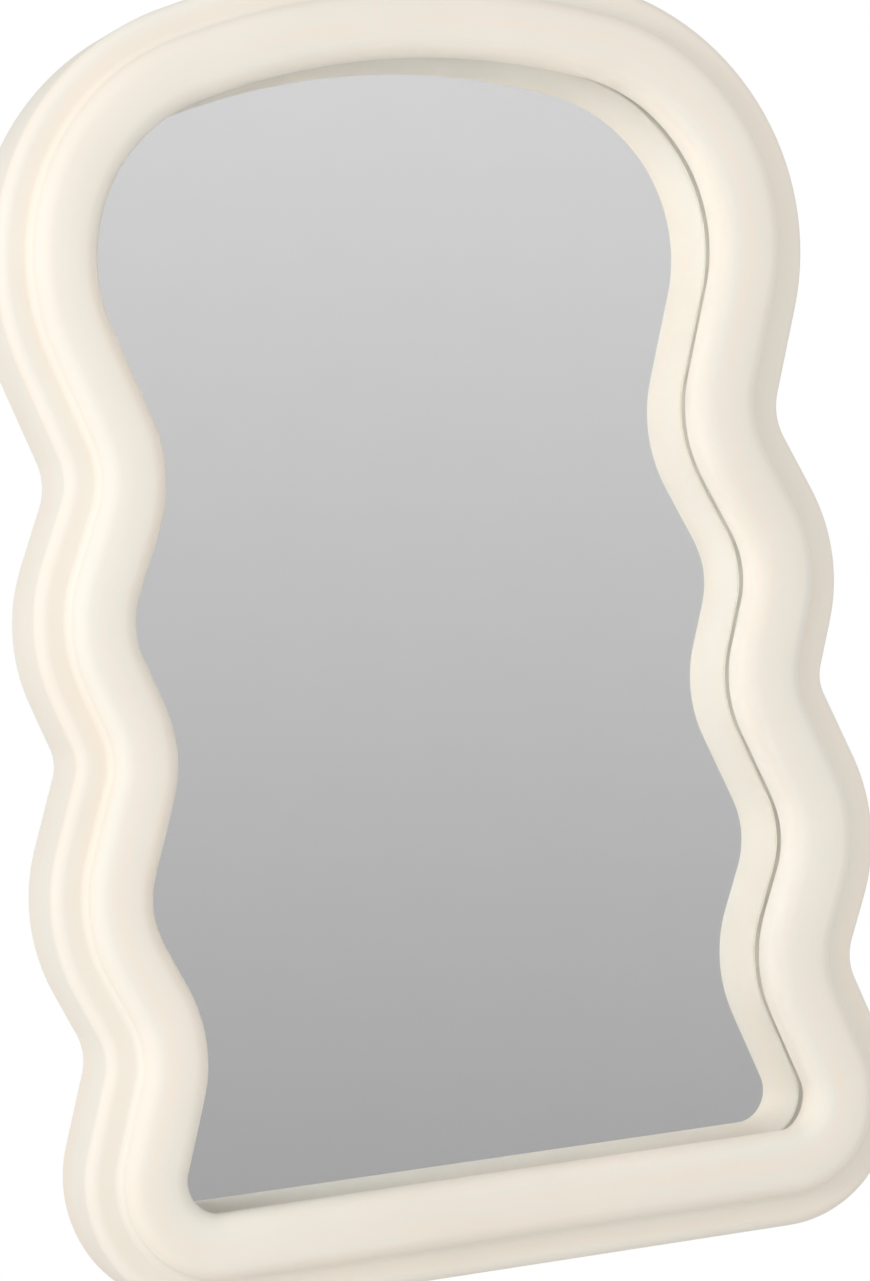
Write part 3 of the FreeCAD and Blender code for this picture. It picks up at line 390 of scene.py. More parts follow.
def draw_section(reach, level, outward):
    """The closed section of the moulding at a reach and a level, its outer side up (1) or down (-1)."""

    def spot(outset, depth):
        return Vector((reach, -depth, level + outward * outset))

    def heading(start, end):
        return math.atan2(end.y - start.y, end.x - start.x)

    def under_crown(across, rounding):
        """Centre of a rounding that runs into the crown from inside."""
        return Vector((across, crown.y + math.sqrt((CROWN - rounding) ** 2 - (across - crown.x) ** 2)))

    crown = Vector((-CROWN_INSET, FRAME_DEPTH - CROWN))
    inner = under_crown(INNER_ROLL - INNER_REACH, INNER_ROLL)
    edge = under_crown(ROLL_REACH - ROLL_EDGE, ROLL_EDGE)
    inner_angle = heading(crown, inner)
    edge_angle = heading(crown, edge)
    sight = Vector((-SIGHT_INSET, LIP))
    drop = inner.y - sight.y
    shift = sight.x + INNER_REACH
    under_radius = (shift ** 2 + drop ** 2) / (2 * shift)
    axis = Vector((outward, 0, 0))

    start_line(spot(RECESS_OUTSET, 0))
    pull(spot(OUTER_REACH - BACK_EDGE, 0) - spot(RECESS_OUTSET, 0))
    swing(spot(OUTER_REACH - BACK_EDGE, BACK_EDGE), axis, math.pi / 2, SECTION_STEP * 3)
    pull(spot(OUTER_REACH, STEP - STEP_EDGE) - spot(OUTER_REACH, BACK_EDGE))
    swing(spot(OUTER_REACH - STEP_EDGE, STEP - STEP_EDGE), axis, math.pi / 2, SECTION_STEP)
    pull(spot(ROLL_REACH + CREASE, STEP) - spot(OUTER_REACH - STEP_EDGE, STEP))
    swing(spot(ROLL_REACH + CREASE, STEP + CREASE), axis, -math.pi / 2, SECTION_STEP)
    pull(spot(ROLL_REACH, edge.y) - spot(ROLL_REACH, STEP + CREASE))
    swing(spot(*edge), axis, edge_angle, SECTION_STEP)
    swing(spot(*crown), axis, inner_angle - edge_angle, SECTION_STEP / 4)
    swing(spot(*inner), axis, math.pi - inner_angle, SECTION_STEP)
    swing(spot(under_radius - INNER_REACH, inner.y), axis, math.asin(drop / under_radius), SECTION_STEP)
    corners = [
        sight,
        Vector((-REBATE_INSET, LIP)),
        Vector((-REBATE_INSET, LEDGE)),
        Vector((RECESS_OUTSET, LEDGE)),
        Vector((RECESS_OUTSET, 0)),
    ]
    for corner, following in zip(corners, corners[1:]):
        pull(spot(*following) - spot(*corner))
    weld(SEAM)


def joint_share():
    """How far up its straight the joint between a stile and the arch lies."""
    low = SIDE[-2].centre + LEAVING[-1] * SIDE[-2].radius
    high = SIDE[-1].centre - LEAVING[-1] * SIDE[-1].radius
    return (BOTTOM + ARCH_JOINT - low.z) / (high.z - low.z)


def rail():
    draw_section(-RAIL_REACH, BOTTOM + OUTER_REACH, -1)
    cover()
    pull(Vector((2 * RAIL_REACH, 0, 0)))
    return finish_piece("painted_rail")


def stile():
    """The right side: the section drawn along the foot, the lobes and the waists up to the joint."""
    draw_section(RAIL_REACH, BOTTOM + OUTER_REACH, -1)
    cover()
    pull(Vector((SIDE[0].centre.x - RAIL_REACH, 0, 0)))
    *lower, (straight, _), _, _ = side_moves()
    follow(lower)
    pull(straight * joint_share())
    return finish_piece("painted_stile_right")


def twin(piece, name):
    """The same piece on the other side of the frame."""
    copy = copy_to(piece, name, Matrix.Scale(-1, 4, Vector((1, 0, 0))))
    bpy.ops.object.mode_set(mode="EDIT")
    return finish_piece(copy.name)


def arch():
    """The top, drawn from its middle down to the right joint and mirrored, with room for the plates."""
    draw_section(0, TOP - OUTER_REACH, 1)
    *_, (straight, _), shoulder, crown = side_moves()
    for centre, angle in (crown, shoulder):
        swing(centre, FRONT_AXIS, -angle, TURN_STEP)
    pull(straight * (joint_share() - 1))
    cover()
    piece = finish_piece("painted_arch")
    halves = piece.modifiers.new("halves", "MIRROR")
    halves.merge_threshold = SEAM
    apply_modifiers(piece)
    for hand in (1, -1):
        place = fitting_place(Vector((hand * PLATE_REACH, 0, 0)), UP)
        rise = PLATE_LENGTH / 2 - PLATE_HALF
        take_out(piece, slot_block(place, -rise, rise, PLATE_HALF + PLATE_ROOM, PLATE_THICKNESS))
        take_out(piece, slot_block(place, 0, KEYSLOT_RISE, HEAD_ROOM, HEAD_ROOM_DEPTH))
    return piece


# Flat sheets that follow the outline

def sheet(name, inset, front, thickness, edge):
    """A sheet with the frame's outline at an inset, from its front plane backward, its edges eased."""
    moves = side_moves(inset)
    bottom_middle = flat(0, OUTER_REACH + inset)
    foot = Vector((SIDE[0].centre.x, 0, 0))
    start_line(bottom_middle + BACKWARD * front)
    pull(foot)
    follow(moves)
    follow(left_moves(moves))
    pull(foot)
    weld(SEAM)
    cover()
    pull(BACKWARD * thickness)
    weld()
    soften(edge)
    piece = finish_piece(name)
    bpy.ops.object.shade_flat()
    return piece


# Fittings, drawn with their base on the frame's back: x runs up or inward, and z backward

def fitting_place(point, along):
    """Where a fitting sits: its x axis along a direction in the frame's plane, its z axis backward."""
    columns = (along, BACKWARD.cross(along), BACKWARD)
    return Matrix.Translation(point) @ Matrix(columns).transposed().to_4x4()


def draw_tongue(start, level, heel, tip, length):
    """A flat face with a round heel and a round tip further along x."""
    heel_centre = Vector((start, 0, level))
    tip_centre = Vector((start + length, 0, level))
    lean = (heel - tip) / length
    side = Vector((lean, -math.sqrt(1 - lean ** 2), 0))
    half = math.acos(lean)
    start_line(heel_centre + side * heel)
    pull(tip_centre + side * tip - heel_centre - side * heel)
    swing(tip_centre, UP, 2 * half, FITTING_STEP)
    other = Vector((side.x, -side.y, 0))
    pull(heel_centre + other * heel - tip_centre - other * tip)
    swing(heel_centre, UP, FULL_TURN - 2 * half, FITTING_STEP)
    weld()
    cover()


def slot_block(place, low, high, radius, depth):
    """A cutter with round ends, from behind the back plane down to a depth."""
    draw_tongue(low, PROUD, radius, radius, high - low)
    pull(UP * (-depth - PROUD))
    block = finish_piece("cutter")
    block.matrix_world = place
    return block


def round_cutter(reach, low, high, low_radius, high_radius):
    """A round or tapered cutter at a reach along x, between two levels."""
    deselect()
    bpy.ops.mesh.primitive_cone_add(
        vertices=36, radius1=low_radius, radius2=high_radius, depth=high - low,
        location=(reach, 0, (low + high) / 2))
    return bpy.context.object


def turned(name, profile, edge):
    """A piece turned about the z axis from the radii and levels of its half section, its edges eased."""
    spots = [Vector((radius, 0, level)) for radius, level in profile]
    start_line(spots[0])
    for one, other in zip(spots, spots[1:]):
        pull(other - one)
    bpy.ops.mesh.select_all(action="SELECT")
    swing(ORIGIN, UP, FULL_TURN, FITTING_STEP)
    weld()
    bpy.ops.mesh.normals_make_consistent(inside=False)
    soften(edge)
    return finish_piece(name)


def cut_slot(screw, top):
    """The driver's slot across a screw head."""
    deselect()
    bpy.ops.mesh.primitive_cube_add(size=1, location=(0, 0, top))
    cutter = bpy.context.object
    cutter.scale = (4 * PAN_RADIUS, SLOT_WIDTH, 2 * SLOT_DEPTH)
    bpy.ops.object.transform_apply(location=True, rotation=True, scale=True)
    take_out(screw, cutter)


def turn_button():
    """A pressed steel tongue with a stiffening rib and its pivot hole."""
    draw_tongue(0, BUTTON_LOW.y, BUTTON_HEEL, BUTTON_TIP, BUTTON_FINGER)
    pull(UP * (BUTTON_HIGH.y - BUTTON_LOW.y))
    weld()
    soften(BUTTON_EASE)
    button = finish_piece("turn_button")
    middle = (BUTTON_LOW.y + BUTTON_HIGH.y) / 2
    take_out(button, round_cutter(0, middle - DRILL_REACH, middle + DRILL_REACH, BUTTON_HOLE, BUTTON_HOLE))
    draw_tongue(RIB_START, BUTTON_HIGH.y - RIB_ROOT, RIB_RADIUS, RIB_RADIUS * RIB_TAPER, RIB_LENGTH)
    pull(UP * (RIB_RISE + RIB_ROOT))
    weld()
    soften(RIB_EASE)
    add_on(button, finish_piece("rib"))
    return button


def pivot_screw():
    seat = -PAN_TOP - PAN_HEIGHT
    screw = turned("pivot_screw", [
        (0, seat - PIVOT_LENGTH),
        (SCREW_SHANK, seat - PIVOT_LENGTH + SCREW_TIP),
        (SCREW_SHANK, seat),
        (PAN_RADIUS, seat),
        (PAN_RADIUS, seat + PAN_HEIGHT * 0.45),
        (PAN_RADIUS * 0.88, seat + PAN_HEIGHT * 0.8),
        (PAN_RADIUS * 0.6, -PAN_TOP),
        (0, -PAN_TOP),
    ], PAN_EASE)
    cut_slot(screw, -PAN_TOP)
    return screw


def plate_screw():
    screw = turned("plate_screw", [
        (0, -PLATE_SCREW_LENGTH),
        (SCREW_SHANK, -PLATE_SCREW_LENGTH + SCREW_TIP),
        (SCREW_SHANK, -FLAT_HEIGHT),
        (FLAT_RADIUS - FLAT_DROP, -FLAT_DROP),
        (0, -FLAT_DROP),
    ], FLAT_EASE)
    cut_slot(screw, -FLAT_DROP)
    return screw


def keyhole_plate():
    """A steel plate with round ends, a keyhole and two countersunk holes."""
    rise = PLATE_LENGTH / 2 - PLATE_HALF
    draw_tongue(-rise, -PLATE_THICKNESS, PLATE_HALF, PLATE_HALF, 2 * rise)
    pull(UP * PLATE_THICKNESS)
    weld()
    soften(PLATE_EASE)
    plate = finish_piece("keyhole_plate")
    low = -PLATE_THICKNESS - PROUD
    take_out(plate, round_cutter(0, low, PROUD, KEYHOLE, KEYHOLE))
    take_out(plate, slot_block(Matrix.Identity(4), 0, KEYSLOT_RISE, KEYSLOT, PLATE_THICKNESS + PROUD))
    sink = FLAT_RADIUS - PLATE_SCREW_HOLE
    for reach in (PLATE_SCREW_RISE, -PLATE_SCREW_RISE):
        take_out(plate, round_cutter(reach, low, PROUD, PLATE_SCREW_HOLE, PLATE_SCREW_HOLE))
        take_out(plate, round_cutter(reach, -sink, sink, PLATE_SCREW_HOLE, PLATE_SCREW_HOLE + 2 * sink))
    return plate


def bumper():
    """A rubber disc with a rounded rim and a dished face."""
    radius = (BUMPER_HIGH.x - BUMPER_LOW.x) / 2
    face = BUMPER_HIGH.y
    return turned("bumper", [
        (0, BUMPER_LOW.y),
        (radius, BUMPER_LOW.y),
        (radius, face - BUMPER_ROUND),
        (radius - BUMPER_ROUND * 0.3, face - BUMPER_ROUND * 0.3),
        (radius - BUMPER_ROUND, face),
        (radius * 0.6, face),
        (radius * 0.45, face - BUMPER_DISH),
        (0, face - BUMPER_DISH),
    ], BUMPER_EASE)


def inward_at(level, pivot):
    """The way a turn button on the right side points when it holds the board."""
    ways = {
        "bottom": UP,
        "low": -LEAVING[LOW_SEAT_TURN],
        "high": -LEAVING[HIGH_SEAT_TURN],
        "top": (ARCH_CENTRE - Vector((pivot.x, 0, pivot.z))).normalized(),
    }
    return ways[level]


# Paint follows the moulding: each point knows its run along the centreline, its outset and its depth

class Straight:
    def __init__(self, start, step, run):
        self.start = start
        self.length = step.length
        self.way = step.normalized()
        self.outward = Vector((self.way.z, 0, -self.way.x))
        self.run = run
        self.end = start + step

    def measure(self, point):
        offset = point - self.start
        along = offset.dot(self.way)
        if -RUN_SLACK <= along <= self.length + RUN_SLACK:
            return offset.dot(self.outward), self.run + along
        return None


class Bend:
    def __init__(self, centre, start, angle, run):
        self.centre = centre
        self.arm = start - centre
        self.radius = self.arm.length
        self.angle = angle
        self.side = math.copysign(1, angle)
        self.run = run
        self.length = self.radius * abs(angle)
        end = bearing(self.arm) + angle
        self.end = centre + Vector((math.cos(end), 0, math.sin(end))) * self.radius

    def measure(self, point):
        offset = point - self.centre
        turned_by = (bearing(offset) - bearing(self.arm)) * self.side
        turned_by = (turned_by + math.pi) % FULL_TURN - math.pi
        if -TURN_SLACK <= turned_by <= abs(self.angle) + TURN_SLACK:
            return (offset.length - self.radius) * self.side, self.run + turned_by * self.radius
        return None


def centreline():
    """The stretches of the moulding's centreline, from the bottom's middle to the top's middle."""
    place = flat(0, OUTER_REACH)
    run = 0
    stretches = []
    for move, angle in [(Vector((SIDE[0].centre.x, 0, 0)), None)] + side_moves():
        stretch = Straight(place, move, run) if angle is None else Bend(move, place, angle, run)
        stretches.append(stretch)
        place = stretch.end
        run += stretch.length
    return stretches


def mark_run(piece, stretches):
    """Gives each point of a painted piece its run, outset and depth as the attribute its paint reads."""
    marks = piece.data.attributes.new("run", "FLOAT_VECTOR", "POINT")
    for point, mark in zip(piece.data.vertices, marks.data):
        right = Vector((abs(point.co.x), 0, point.co.z))
        found = [stretch.measure(right) for stretch in stretches]
        outset, run = min((one for one in found if one), key=lambda one: abs(one[0]))
        mark.vector = (math.copysign(run, point.co.x), outset, -point.co.y)


# Finishes

class Wiring:
    """The nodes of a material or of the world while they are linked."""

    def __init__(self, tree):
        self.nodes = tree.nodes
        self.links = tree.links

    def feed(self, socket, value):
        if isinstance(value, bpy.types.NodeSocket):
            self.links.new(value, socket)
        else:
            socket.default_value = value

    def node(self, kind, sockets=(), **settings):
        node = self.nodes.new("ShaderNode" + kind)
        for name, value in settings.items():
            setattr(node, name, value)
        for name, value in dict(sockets).items():
            self.feed(node.inputs[name], value)
        return node

    def calculate(self, operation, one, other):
        return self.node("Math", {0: one, 1: other}, operation=operation).outputs["Value"]

    def remap(self, value, low, high, new_low, new_high):
        sockets = {"Value": value, "From Min": low, "From Max": high, "To Min": new_low, "To Max": new_high}
        return self.node("MapRange", sockets).outputs["Result"]


class Finish(Wiring):
    """A procedural material."""

    def __init__(self, name):
        self.material = bpy.data.materials.new(name)
        self.material.use_nodes = True
        super().__init__(self.material.node_tree)
        self.shader = self.nodes["Principled BSDF"]

    def set(self, **sockets):
        """Sets or links the shader's own sockets, named in lower case."""
        for name, value in sockets.items():
            self.feed(self.shader.inputs[name.replace("_", " ").title().replace("Ior", "IOR")], value)

    def place(self):
        return self.node("TexCoord").outputs["Object"]

    def along_run(self):
        return self.node("Attribute", attribute_name="run").outputs["Vector"]

    def stretched(self, vector, scale):
        return self.node("Mapping", {"Vector": vector, "Scale": scale}).outputs["Vector"]

    def noise(self, vector, scale, detail=3, roughness=0.5):
        sockets = {"Vector": vector, "Scale": scale, "Detail": detail, "Roughness": roughness}
        return self.node("TexNoise", sockets).outputs["Fac"]

    def ramp(self, value, *stops):
        """A colour that runs through stops of position and colour."""
        node = self.node("ValToRGB", {"Fac": value})
        elements = node.color_ramp.elements
        while len(elements) < len(stops):
            elements.new(1)
        for element, (position, colour) in zip(elements, stops):
            element.position = position
            element.color = (*colour, 1)
        return node.outputs["Color"]

    def mix(self, factor, one, other, blend="MIX"):
        node = self.node("Mix", data_type="RGBA", blend_type=blend)
        for socket, value in zip((node.inputs[0], node.inputs[6], node.inputs[7]), (factor, one, other)):
            self.feed(socket, value)
        return node.outputs[2]

    def bump(self, height, distance, strength=1.0, below=None):
        sockets = {"Height": height, "Distance": distance, "Strength": strength}
        if below:
            sockets["Normal"] = below
        return self.node("Bump", sockets).outputs["Normal"]


CREAM = (0.86, 0.809, 0.722)
IVORY = (0.855, 0.817, 0.736)
PEACH = (0.88, 0.802, 0.702)


def cream_paint():
    """Satin cream paint, brushed along the moulding."""
    finish = Finish("cream_paint")
    run = finish.along_run()
    place = finish.place()
    strokes = finish.noise(finish.stretched(run, (5, 120, 60)), 1, detail=4)
    tint = finish.ramp(strokes, (0.36, IVORY), (0.5, CREAM), (0.66, PEACH))
    cloud = finish.noise(place, 11, detail=5)
    shade = finish.ramp(cloud, (0.3, (0.965, 0.962, 0.955)), (0.7, (1, 1, 1)))
    finish.set(
        base_color=finish.mix(1.0, tint, shade, "MULTIPLY"),
        roughness=finish.remap(cloud, 0.3, 0.7, 0.52, 0.62),
        specular_ior_level=0.25,
        normal=finish.bump(
            finish.noise(place, 700, detail=2), 0.02 * MM, 0.35,
            below=finish.bump(
                finish.noise(finish.stretched(run, (14, 420, 300)), 1, detail=3), 0.06 * MM, 0.5,
                below=finish.bump(finish.noise(place, 30, detail=2), 0.25 * MM, 0.6))),
    )
    return finish.material


def float_glass():
    finish = Finish("float_glass")
    finish.set(
        base_color=(0.984, 0.992, 0.984, 1),
        ior=1.5,
        roughness=0.0,
        transmission_weight=1.0,
    )
    return finish.material


def silvering():
    finish = Finish("silvering")
    haze = finish.noise(finish.place(), 40, detail=4)
    finish.set(
        base_color=finish.ramp(haze, (0.3, (0.925, 0.925, 0.925)), (0.7, (0.935, 0.935, 0.935))),
        metallic=1.0,
        roughness=0.0,
    )
    return finish.material


def hardboard():
    """Pressed brown fibre with a smooth but flecked face."""
    finish = Finish("hardboard")
    place = finish.place()
    fibre = finish.noise(finish.stretched(place, (260, 260, 900)), 1, detail=6, roughness=0.7)
    fleck = finish.noise(place, 1400, detail=2)
    cloud = finish.noise(place, 7, detail=4)
    colour = finish.ramp(
        fibre,
        (0.3, (0.13, 0.066, 0.030)),
        (0.5, (0.22, 0.125, 0.062)),
        (0.72, (0.33, 0.21, 0.12)),
    )
    patch = finish.ramp(cloud, (0.3, (0.84, 0.82, 0.80)), (0.7, (1, 1, 1)))
    finish.set(
        base_color=finish.mix(1.0, colour, patch, "MULTIPLY"),
        roughness=finish.remap(fleck, 0.3, 0.7, 0.62, 0.82),
        normal=finish.bump(fibre, 0.12 * MM, 0.5, below=finish.bump(fleck, 0.05 * MM, 0.4)),
    )
    return finish.material


def zinc_steel():
    """Bright zinc plate with a fine spangle and rubbed scratches."""
    finish = Finish("zinc_steel")
    place = finish.place()
    spangle = finish.node("TexVoronoi", {"Vector": place, "Scale": 900}).outputs["Color"]
    scratch = finish.noise(finish.stretched(place, (300, 300, 5200)), 1, detail=3)
    tone = finish.ramp(spangle, (0.2, (0.50, 0.51, 0.53)), (0.8, (0.64, 0.65, 0.66)))
    finish.set(
        base_color=tone,
        metallic=1.0,
        roughness=finish.remap(scratch, 0.3, 0.7, 0.24, 0.42),
        normal=finish.bump(scratch, 0.015 * MM, 0.4),
    )
    return finish.material


def rubber():
    finish = Finish("rubber")
    place = finish.place()
    grain = finish.noise(place, 1600, detail=3)
    dust = finish.noise(place, 220, detail=5)
    finish.set(
        base_color=finish.ramp(dust, (0.35, (0.018, 0.018, 0.019)), (0.75, (0.05, 0.048, 0.045))),
        roughness=finish.remap(dust, 0.3, 0.7, 0.7, 0.9),
        normal=finish.bump(grain, 0.04 * MM, 0.6),
    )
    return finish.material


def foam():
    finish = Finish("foam_tape")
    cells = finish.node("TexVoronoi", {"Vector": finish.place(), "Scale": 1800}).outputs["Distance"]
    finish.set(
        base_color=finish.ramp(cells, (0.1, (0.78, 0.71, 0.60)), (0.6, (0.88, 0.82, 0.72))),
        roughness=0.95,
        normal=finish.bump(cells, 0.1 * MM, 0.8),
    )
    return finish.material


def beech():
    finish = Finish("beech")
    grain = finish.noise(finish.stretched(finish.place(), (900, 900, 120)), 1, detail=5)
    finish.set(
        base_color=finish.ramp(grain, (0.3, (0.46, 0.27, 0.14)), (0.7, (0.62, 0.42, 0.25))),
        roughness=0.6,
        normal=finish.bump(grain, 0.05 * MM, 0.4),
    )
    return finish.material


# The pieces

def dress(piece, material):
    piece.data.materials.clear()
    piece.data.materials.append(material)


def add_piece(piece, body, node, material):
    """A new piece that stands for a node of the solids and moves with its body."""
    dress(piece, material)
    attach(piece, body)
    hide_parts(node)


def build_frame():
    paint = cream_paint()
    stretches = centreline()
    right = stile()
    pieces = [
        (rail(), "frame_bottom"),
        (right, "frame_right"),
        (twin(right, "painted_stile_left"), "frame_left"),
        (arch(), "frame_top"),
    ]
    for piece, node in pieces:
        mark_run(piece, stretches)
        add_piece(piece, "frame", node, paint)


def build_mirror():
    """The glass, a hair behind the tape so that it shows the tape's face, with the silver in its back."""
    glass_front = GLASS_LOW.y + TAPE_AIR
    glass = sheet("polished_glass", GLASS_INSET, glass_front, GLASS_HIGH.y - glass_front, GLASS_EASE)
    add_piece(glass, "frame", "mirror_glass", float_glass())
    coat_front = GLASS_HIGH.y - COAT_SINK
    coat = sheet("silvered_back", GLASS_INSET + COAT_MARGIN, coat_front, COAT_BACK - coat_front, COAT_EASE)
    add_piece(coat, "frame", "silver_coat", silvering())


def build_fittings():
    """The steel and rubber on the back, with each screw's slot at an angle of its own."""
    steel = zinc_steel()
    button = turn_button()
    screw = pivot_screw()
    screws = []
    for number, joint in enumerate(frame["joints"]):
        level, hand = joint["name"].split("_")[1:]
        pivot = Vector((joint["pos_m"][0], 0, joint["pos_m"][2]))
        inward = inward_at(level, Vector((abs(pivot.x), 0, pivot.z)))
        if hand == "left":
            inward = flip(inward)
        name = f"{level}_{hand}"
        copy = copy_to(button, f"pressed_button_{name}", fitting_place(pivot, inward))
        add_piece(copy, f"button_{name}", f"turn_button_{name}", steel)
        slot_turn = Matrix.Rotation(number * PIVOT_SLOT_TURN, 4, UP)
        screws.append(copy_to(screw, f"pivot_screw_{name}", fitting_place(pivot, UP) @ slot_turn))
    add_piece(joined("pivot_screws", screws), "frame", "turn_button_screws", steel)

    plate = keyhole_plate()
    holder = plate_screw()
    holders = []
    for hand, reach in (("right", PLATE_REACH), ("left", -PLATE_REACH)):
        copy = copy_to(plate, f"steel_plate_{hand}", fitting_place(Vector((reach, 0, 0)), UP))
        add_piece(copy, "frame", f"keyhole_plate_{hand}", steel)
        for rise in (PLATE_SCREW_RISE, -PLATE_SCREW_RISE):
            slot_turn = Matrix.Rotation(len(holders) * PLATE_SLOT_TURN + PLATE_SLOT_START, 4, UP)
            place = fitting_place(Vector((reach, 0, rise)), UP) @ slot_turn
            holders.append(copy_to(holder, f"plate_screw_{len(holders)}", place))
    add_piece(joined("plate_screws", holders), "frame", "keyhole_plate_screws", steel)

    black = rubber()
    disc = bumper()
    for level in ("low", "high"):
        for hand in ("right", "left"):
            node = f"wall_bumper_{level}_{hand}"
            low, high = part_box(node)
            place = fitting_place(Vector(((low.x + high.x) / 2, 0, (low.z + high.z) / 2)), UP)
            add_piece(copy_to(disc, f"rubber_bumper_{level}_{hand}", place), "frame", node, black)
    for master in (button, screw, plate, holder, disc):
        bpy.data.objects.remove(master)


def dress_hidden():
    """Finishes for the pieces whose solids are right as they are."""
    finishes = {
        "backing_board": (hardboard(), "hardboard"),
        "glass_tape": (foam(), "foam_tape"),
        "setting_pads": (rubber(), "rubber"),
        "joint_dowels": (beech(), "dowel_wood"),
    }
    for node, (material, slot) in finishes.items():
        dress(frame["nodes"][node], material)


# The studio

def view_axes():
    """The camera's right, up and forward directions."""
    forward = Vector((
        math.sin(VIEW_YAW) * math.cos(VIEW_PITCH),
        math.cos(VIEW_YAW) * math.cos(VIEW_PITCH),
        -math.sin(VIEW_PITCH),
    ))
    level = Vector((math.cos(VIEW_YAW), -math.sin(VIEW_YAW), 0))
    upright = level.cross(forward)
    right = level * math.cos(VIEW_ROLL) + upright * math.sin(VIEW_ROLL)
    up = upright * math.cos(VIEW_ROLL) - level * math.sin(VIEW_ROLL)
    return right, up, forward


def aim_camera():
    right, up, forward = view_axes()
    camera = bpy.data.objects.new("camera", bpy.data.cameras.new("camera"))
    bpy.context.scene.collection.objects.link(camera)
    camera.data.lens = VIEW_LENS
    turn = Matrix((right, up, -forward)).transposed()
    camera.matrix_world = Matrix.Translation(VIEW_AIM - forward * VIEW_DISTANCE) @ turn.to_4x4()
    bpy.context.scene.camera = camera


# Light of the studio: fill from behind and from the front, and light by way of the glass from low and high
FILL_BEHIND = 0.54
FILL_FRONT = 0.94
MIRRORED_LOW = 0.85
MIRRORED_HIGH = 0.05

# The room that the glass shows, from low to high
ROOM_LOW = 0.385
ROOM_HIGH = 0.74
ROOM_SPAN = math.sin(math.radians(8))
ROOM_TINT = (1.0, 0.985, 1.0, 1)
ROOM_EDGE = -0.05

# The lamp, and the glow that stands for it in the light from the glass
KEY_SIDE = math.radians(64)
KEY_RISE = math.radians(10)
KEY_DISTANCE = 1.8
KEY_SIZE = 0.9
KEY_GAIN = 0.335
GLOW_SIDE = math.radians(62)
GLOW_RISE = math.radians(-1)
GLOW_GAIN = 10.4
GLOW_EDGE = math.cos(math.radians(65))
GLOW_CORE = math.cos(math.radians(30))

# The floor, which fades to white towards its rim
FLOOR_DROP = 0.15
FLOOR_RADIUS = 0.85
FLOOR_COLOUR = (0.9, 0.89, 0.87, 1)
FADE_START = 0.45 * FLOOR_RADIUS
FADE_END = 0.95 * FLOOR_RADIUS


def left_of_front(side, rise):
    """A direction that turns to the left from the front, and up."""
    return Vector((-math.sin(side) * math.cos(rise), -math.cos(side) * math.cos(rise), math.sin(rise)))


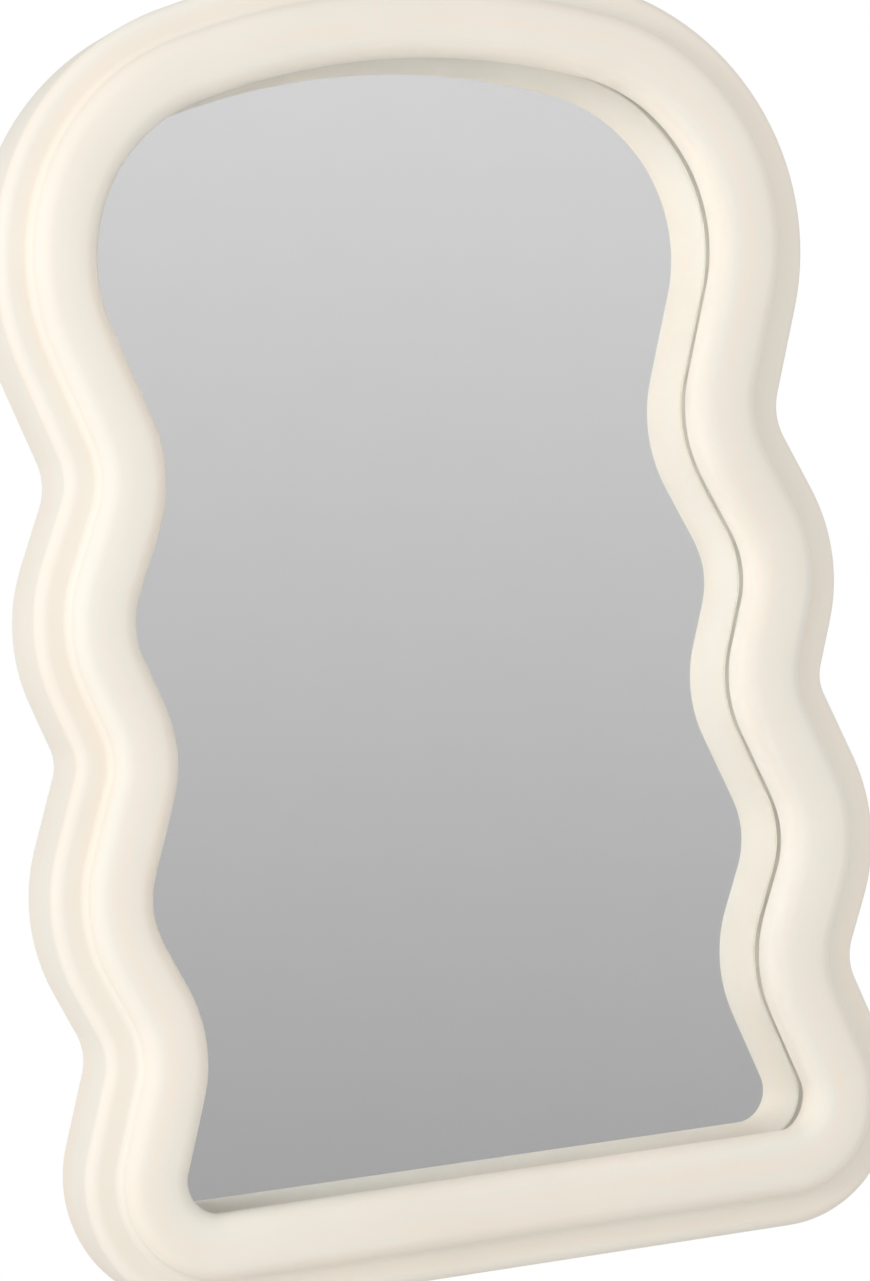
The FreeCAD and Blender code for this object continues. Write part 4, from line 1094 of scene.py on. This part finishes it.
def light_world():
    """White behind the object, a soft fill that is stronger from the front, and the room in front of it.

    The glass shows the room, which darkens downward. Light that the glass sends on to the inner sides of
    the frame comes from a bright room that glows on the left."""
    world = bpy.data.worlds.new("studio")
    bpy.context.scene.world = world
    world.use_nodes = True
    sky = Wiring(world.node_tree)
    sky.nodes.clear()
    direction = sky.node("TexCoord").outputs["Generated"]

    def toward(way):
        sockets = {0: direction, 1: way}
        return sky.node("VectorMath", sockets, operation="DOT_PRODUCT").outputs["Value"]

    def either(factor, one, other):
        return sky.node("Mix", {0: factor, 2: one, 3: other}, data_type="FLOAT").outputs[0]

    def background(colour, strength):
        return sky.node("Background", {"Color": colour, "Strength": strength}).outputs["Background"]

    path = sky.node("LightPath").outputs
    through_glass = path["Is Transmission Ray"]
    shiny = sky.calculate("MAXIMUM", path["Is Glossy Ray"], through_glass)
    fill = sky.remap(toward(BACKWARD), 1.0, -1.0, FILL_BEHIND, FILL_FRONT)
    mirrored = sky.remap(toward(UP), -1.0, 1.0, MIRRORED_LOW, MIRRORED_HIGH)
    glow_way = left_of_front(GLOW_SIDE, GLOW_RISE)
    glow = sky.remap(toward(glow_way), GLOW_EDGE, GLOW_CORE, 0.0, GLOW_GAIN)
    lit = either(through_glass, fill, sky.calculate("ADD", mirrored, glow))
    around = background((1, 1, 1, 1), either(path["Is Camera Ray"], lit, 1.0))

    _, up, _ = view_axes()
    room = sky.remap(toward((up.x, -up.y, up.z)), -ROOM_SPAN, ROOM_SPAN, ROOM_LOW, ROOM_HIGH)
    shown = background(ROOM_TINT, room)
    facing = sky.remap(toward(BACKWARD), 0.0, ROOM_EDGE, 0.0, 1.0)
    looked_at = sky.calculate("LESS_THAN", path["Diffuse Depth"], 0.5)
    share = sky.calculate("MULTIPLY", facing, sky.calculate("MULTIPLY", shiny, looked_at))
    mixed = sky.node("MixShader", {0: share, 1: around, 2: shown})
    sky.links.new(mixed.outputs["Shader"], sky.node("OutputWorld").inputs["Surface"])


def light_key():
    """A large soft lamp to the left of the front, which the glass does not show."""
    toward = left_of_front(KEY_SIDE, KEY_RISE)
    lamp = bpy.data.lights.new("key", "AREA")
    lamp.shape = "DISK"
    lamp.size = KEY_SIZE
    lamp.energy = KEY_GAIN * math.pi ** 2 * KEY_DISTANCE ** 2
    key = bpy.data.objects.new("key", lamp)
    bpy.context.scene.collection.objects.link(key)
    key.visible_glossy = False
    key.visible_transmission = False
    key.location = VIEW_AIM + toward * KEY_DISTANCE
    key.rotation_euler = toward.to_track_quat("Z", "Y").to_euler()


def lay_floor():
    """A pale disc under the object, white at its rim."""
    deselect()
    bpy.ops.mesh.primitive_circle_add(
        vertices=96, radius=FLOOR_RADIUS, fill_type="NGON", location=(0, 0, BOTTOM - FLOOR_DROP))
    floor = bpy.context.object
    floor.name = "floor"
    bpy.ops.object.transform_apply(location=True, rotation=True, scale=True)
    finish = Finish("pale_floor")
    lifted = {"Vector": finish.place(), "Location": (0, 0, FLOOR_DROP - BOTTOM)}
    spot = finish.node("Mapping", lifted).outputs["Vector"]
    distance = finish.node("VectorMath", {0: spot}, operation="LENGTH").outputs["Value"]
    rim = finish.remap(distance, FADE_START, FADE_END, 0.0, 1.0)
    seen = finish.node("LightPath").outputs["Is Camera Ray"]
    finish.set(base_color=FLOOR_COLOUR, roughness=0.8)
    white = finish.node("Emission", {"Color": (1, 1, 1, 1), "Strength": 1.0}).outputs["Emission"]
    layers = {0: finish.calculate("MULTIPLY", rim, seen), 1: finish.shader.outputs["BSDF"], 2: white}
    mixed = finish.node("MixShader", layers).outputs["Shader"]
    finish.links.new(mixed, finish.nodes["Material Output"].inputs["Surface"])
    floor.data.materials.append(finish.material)


build_frame()
build_mirror()
build_fittings()
dress_hidden()
aim_camera()
light_world()
light_key()
lay_floor()
bpy.context.scene.view_settings.view_transform = "Standard"
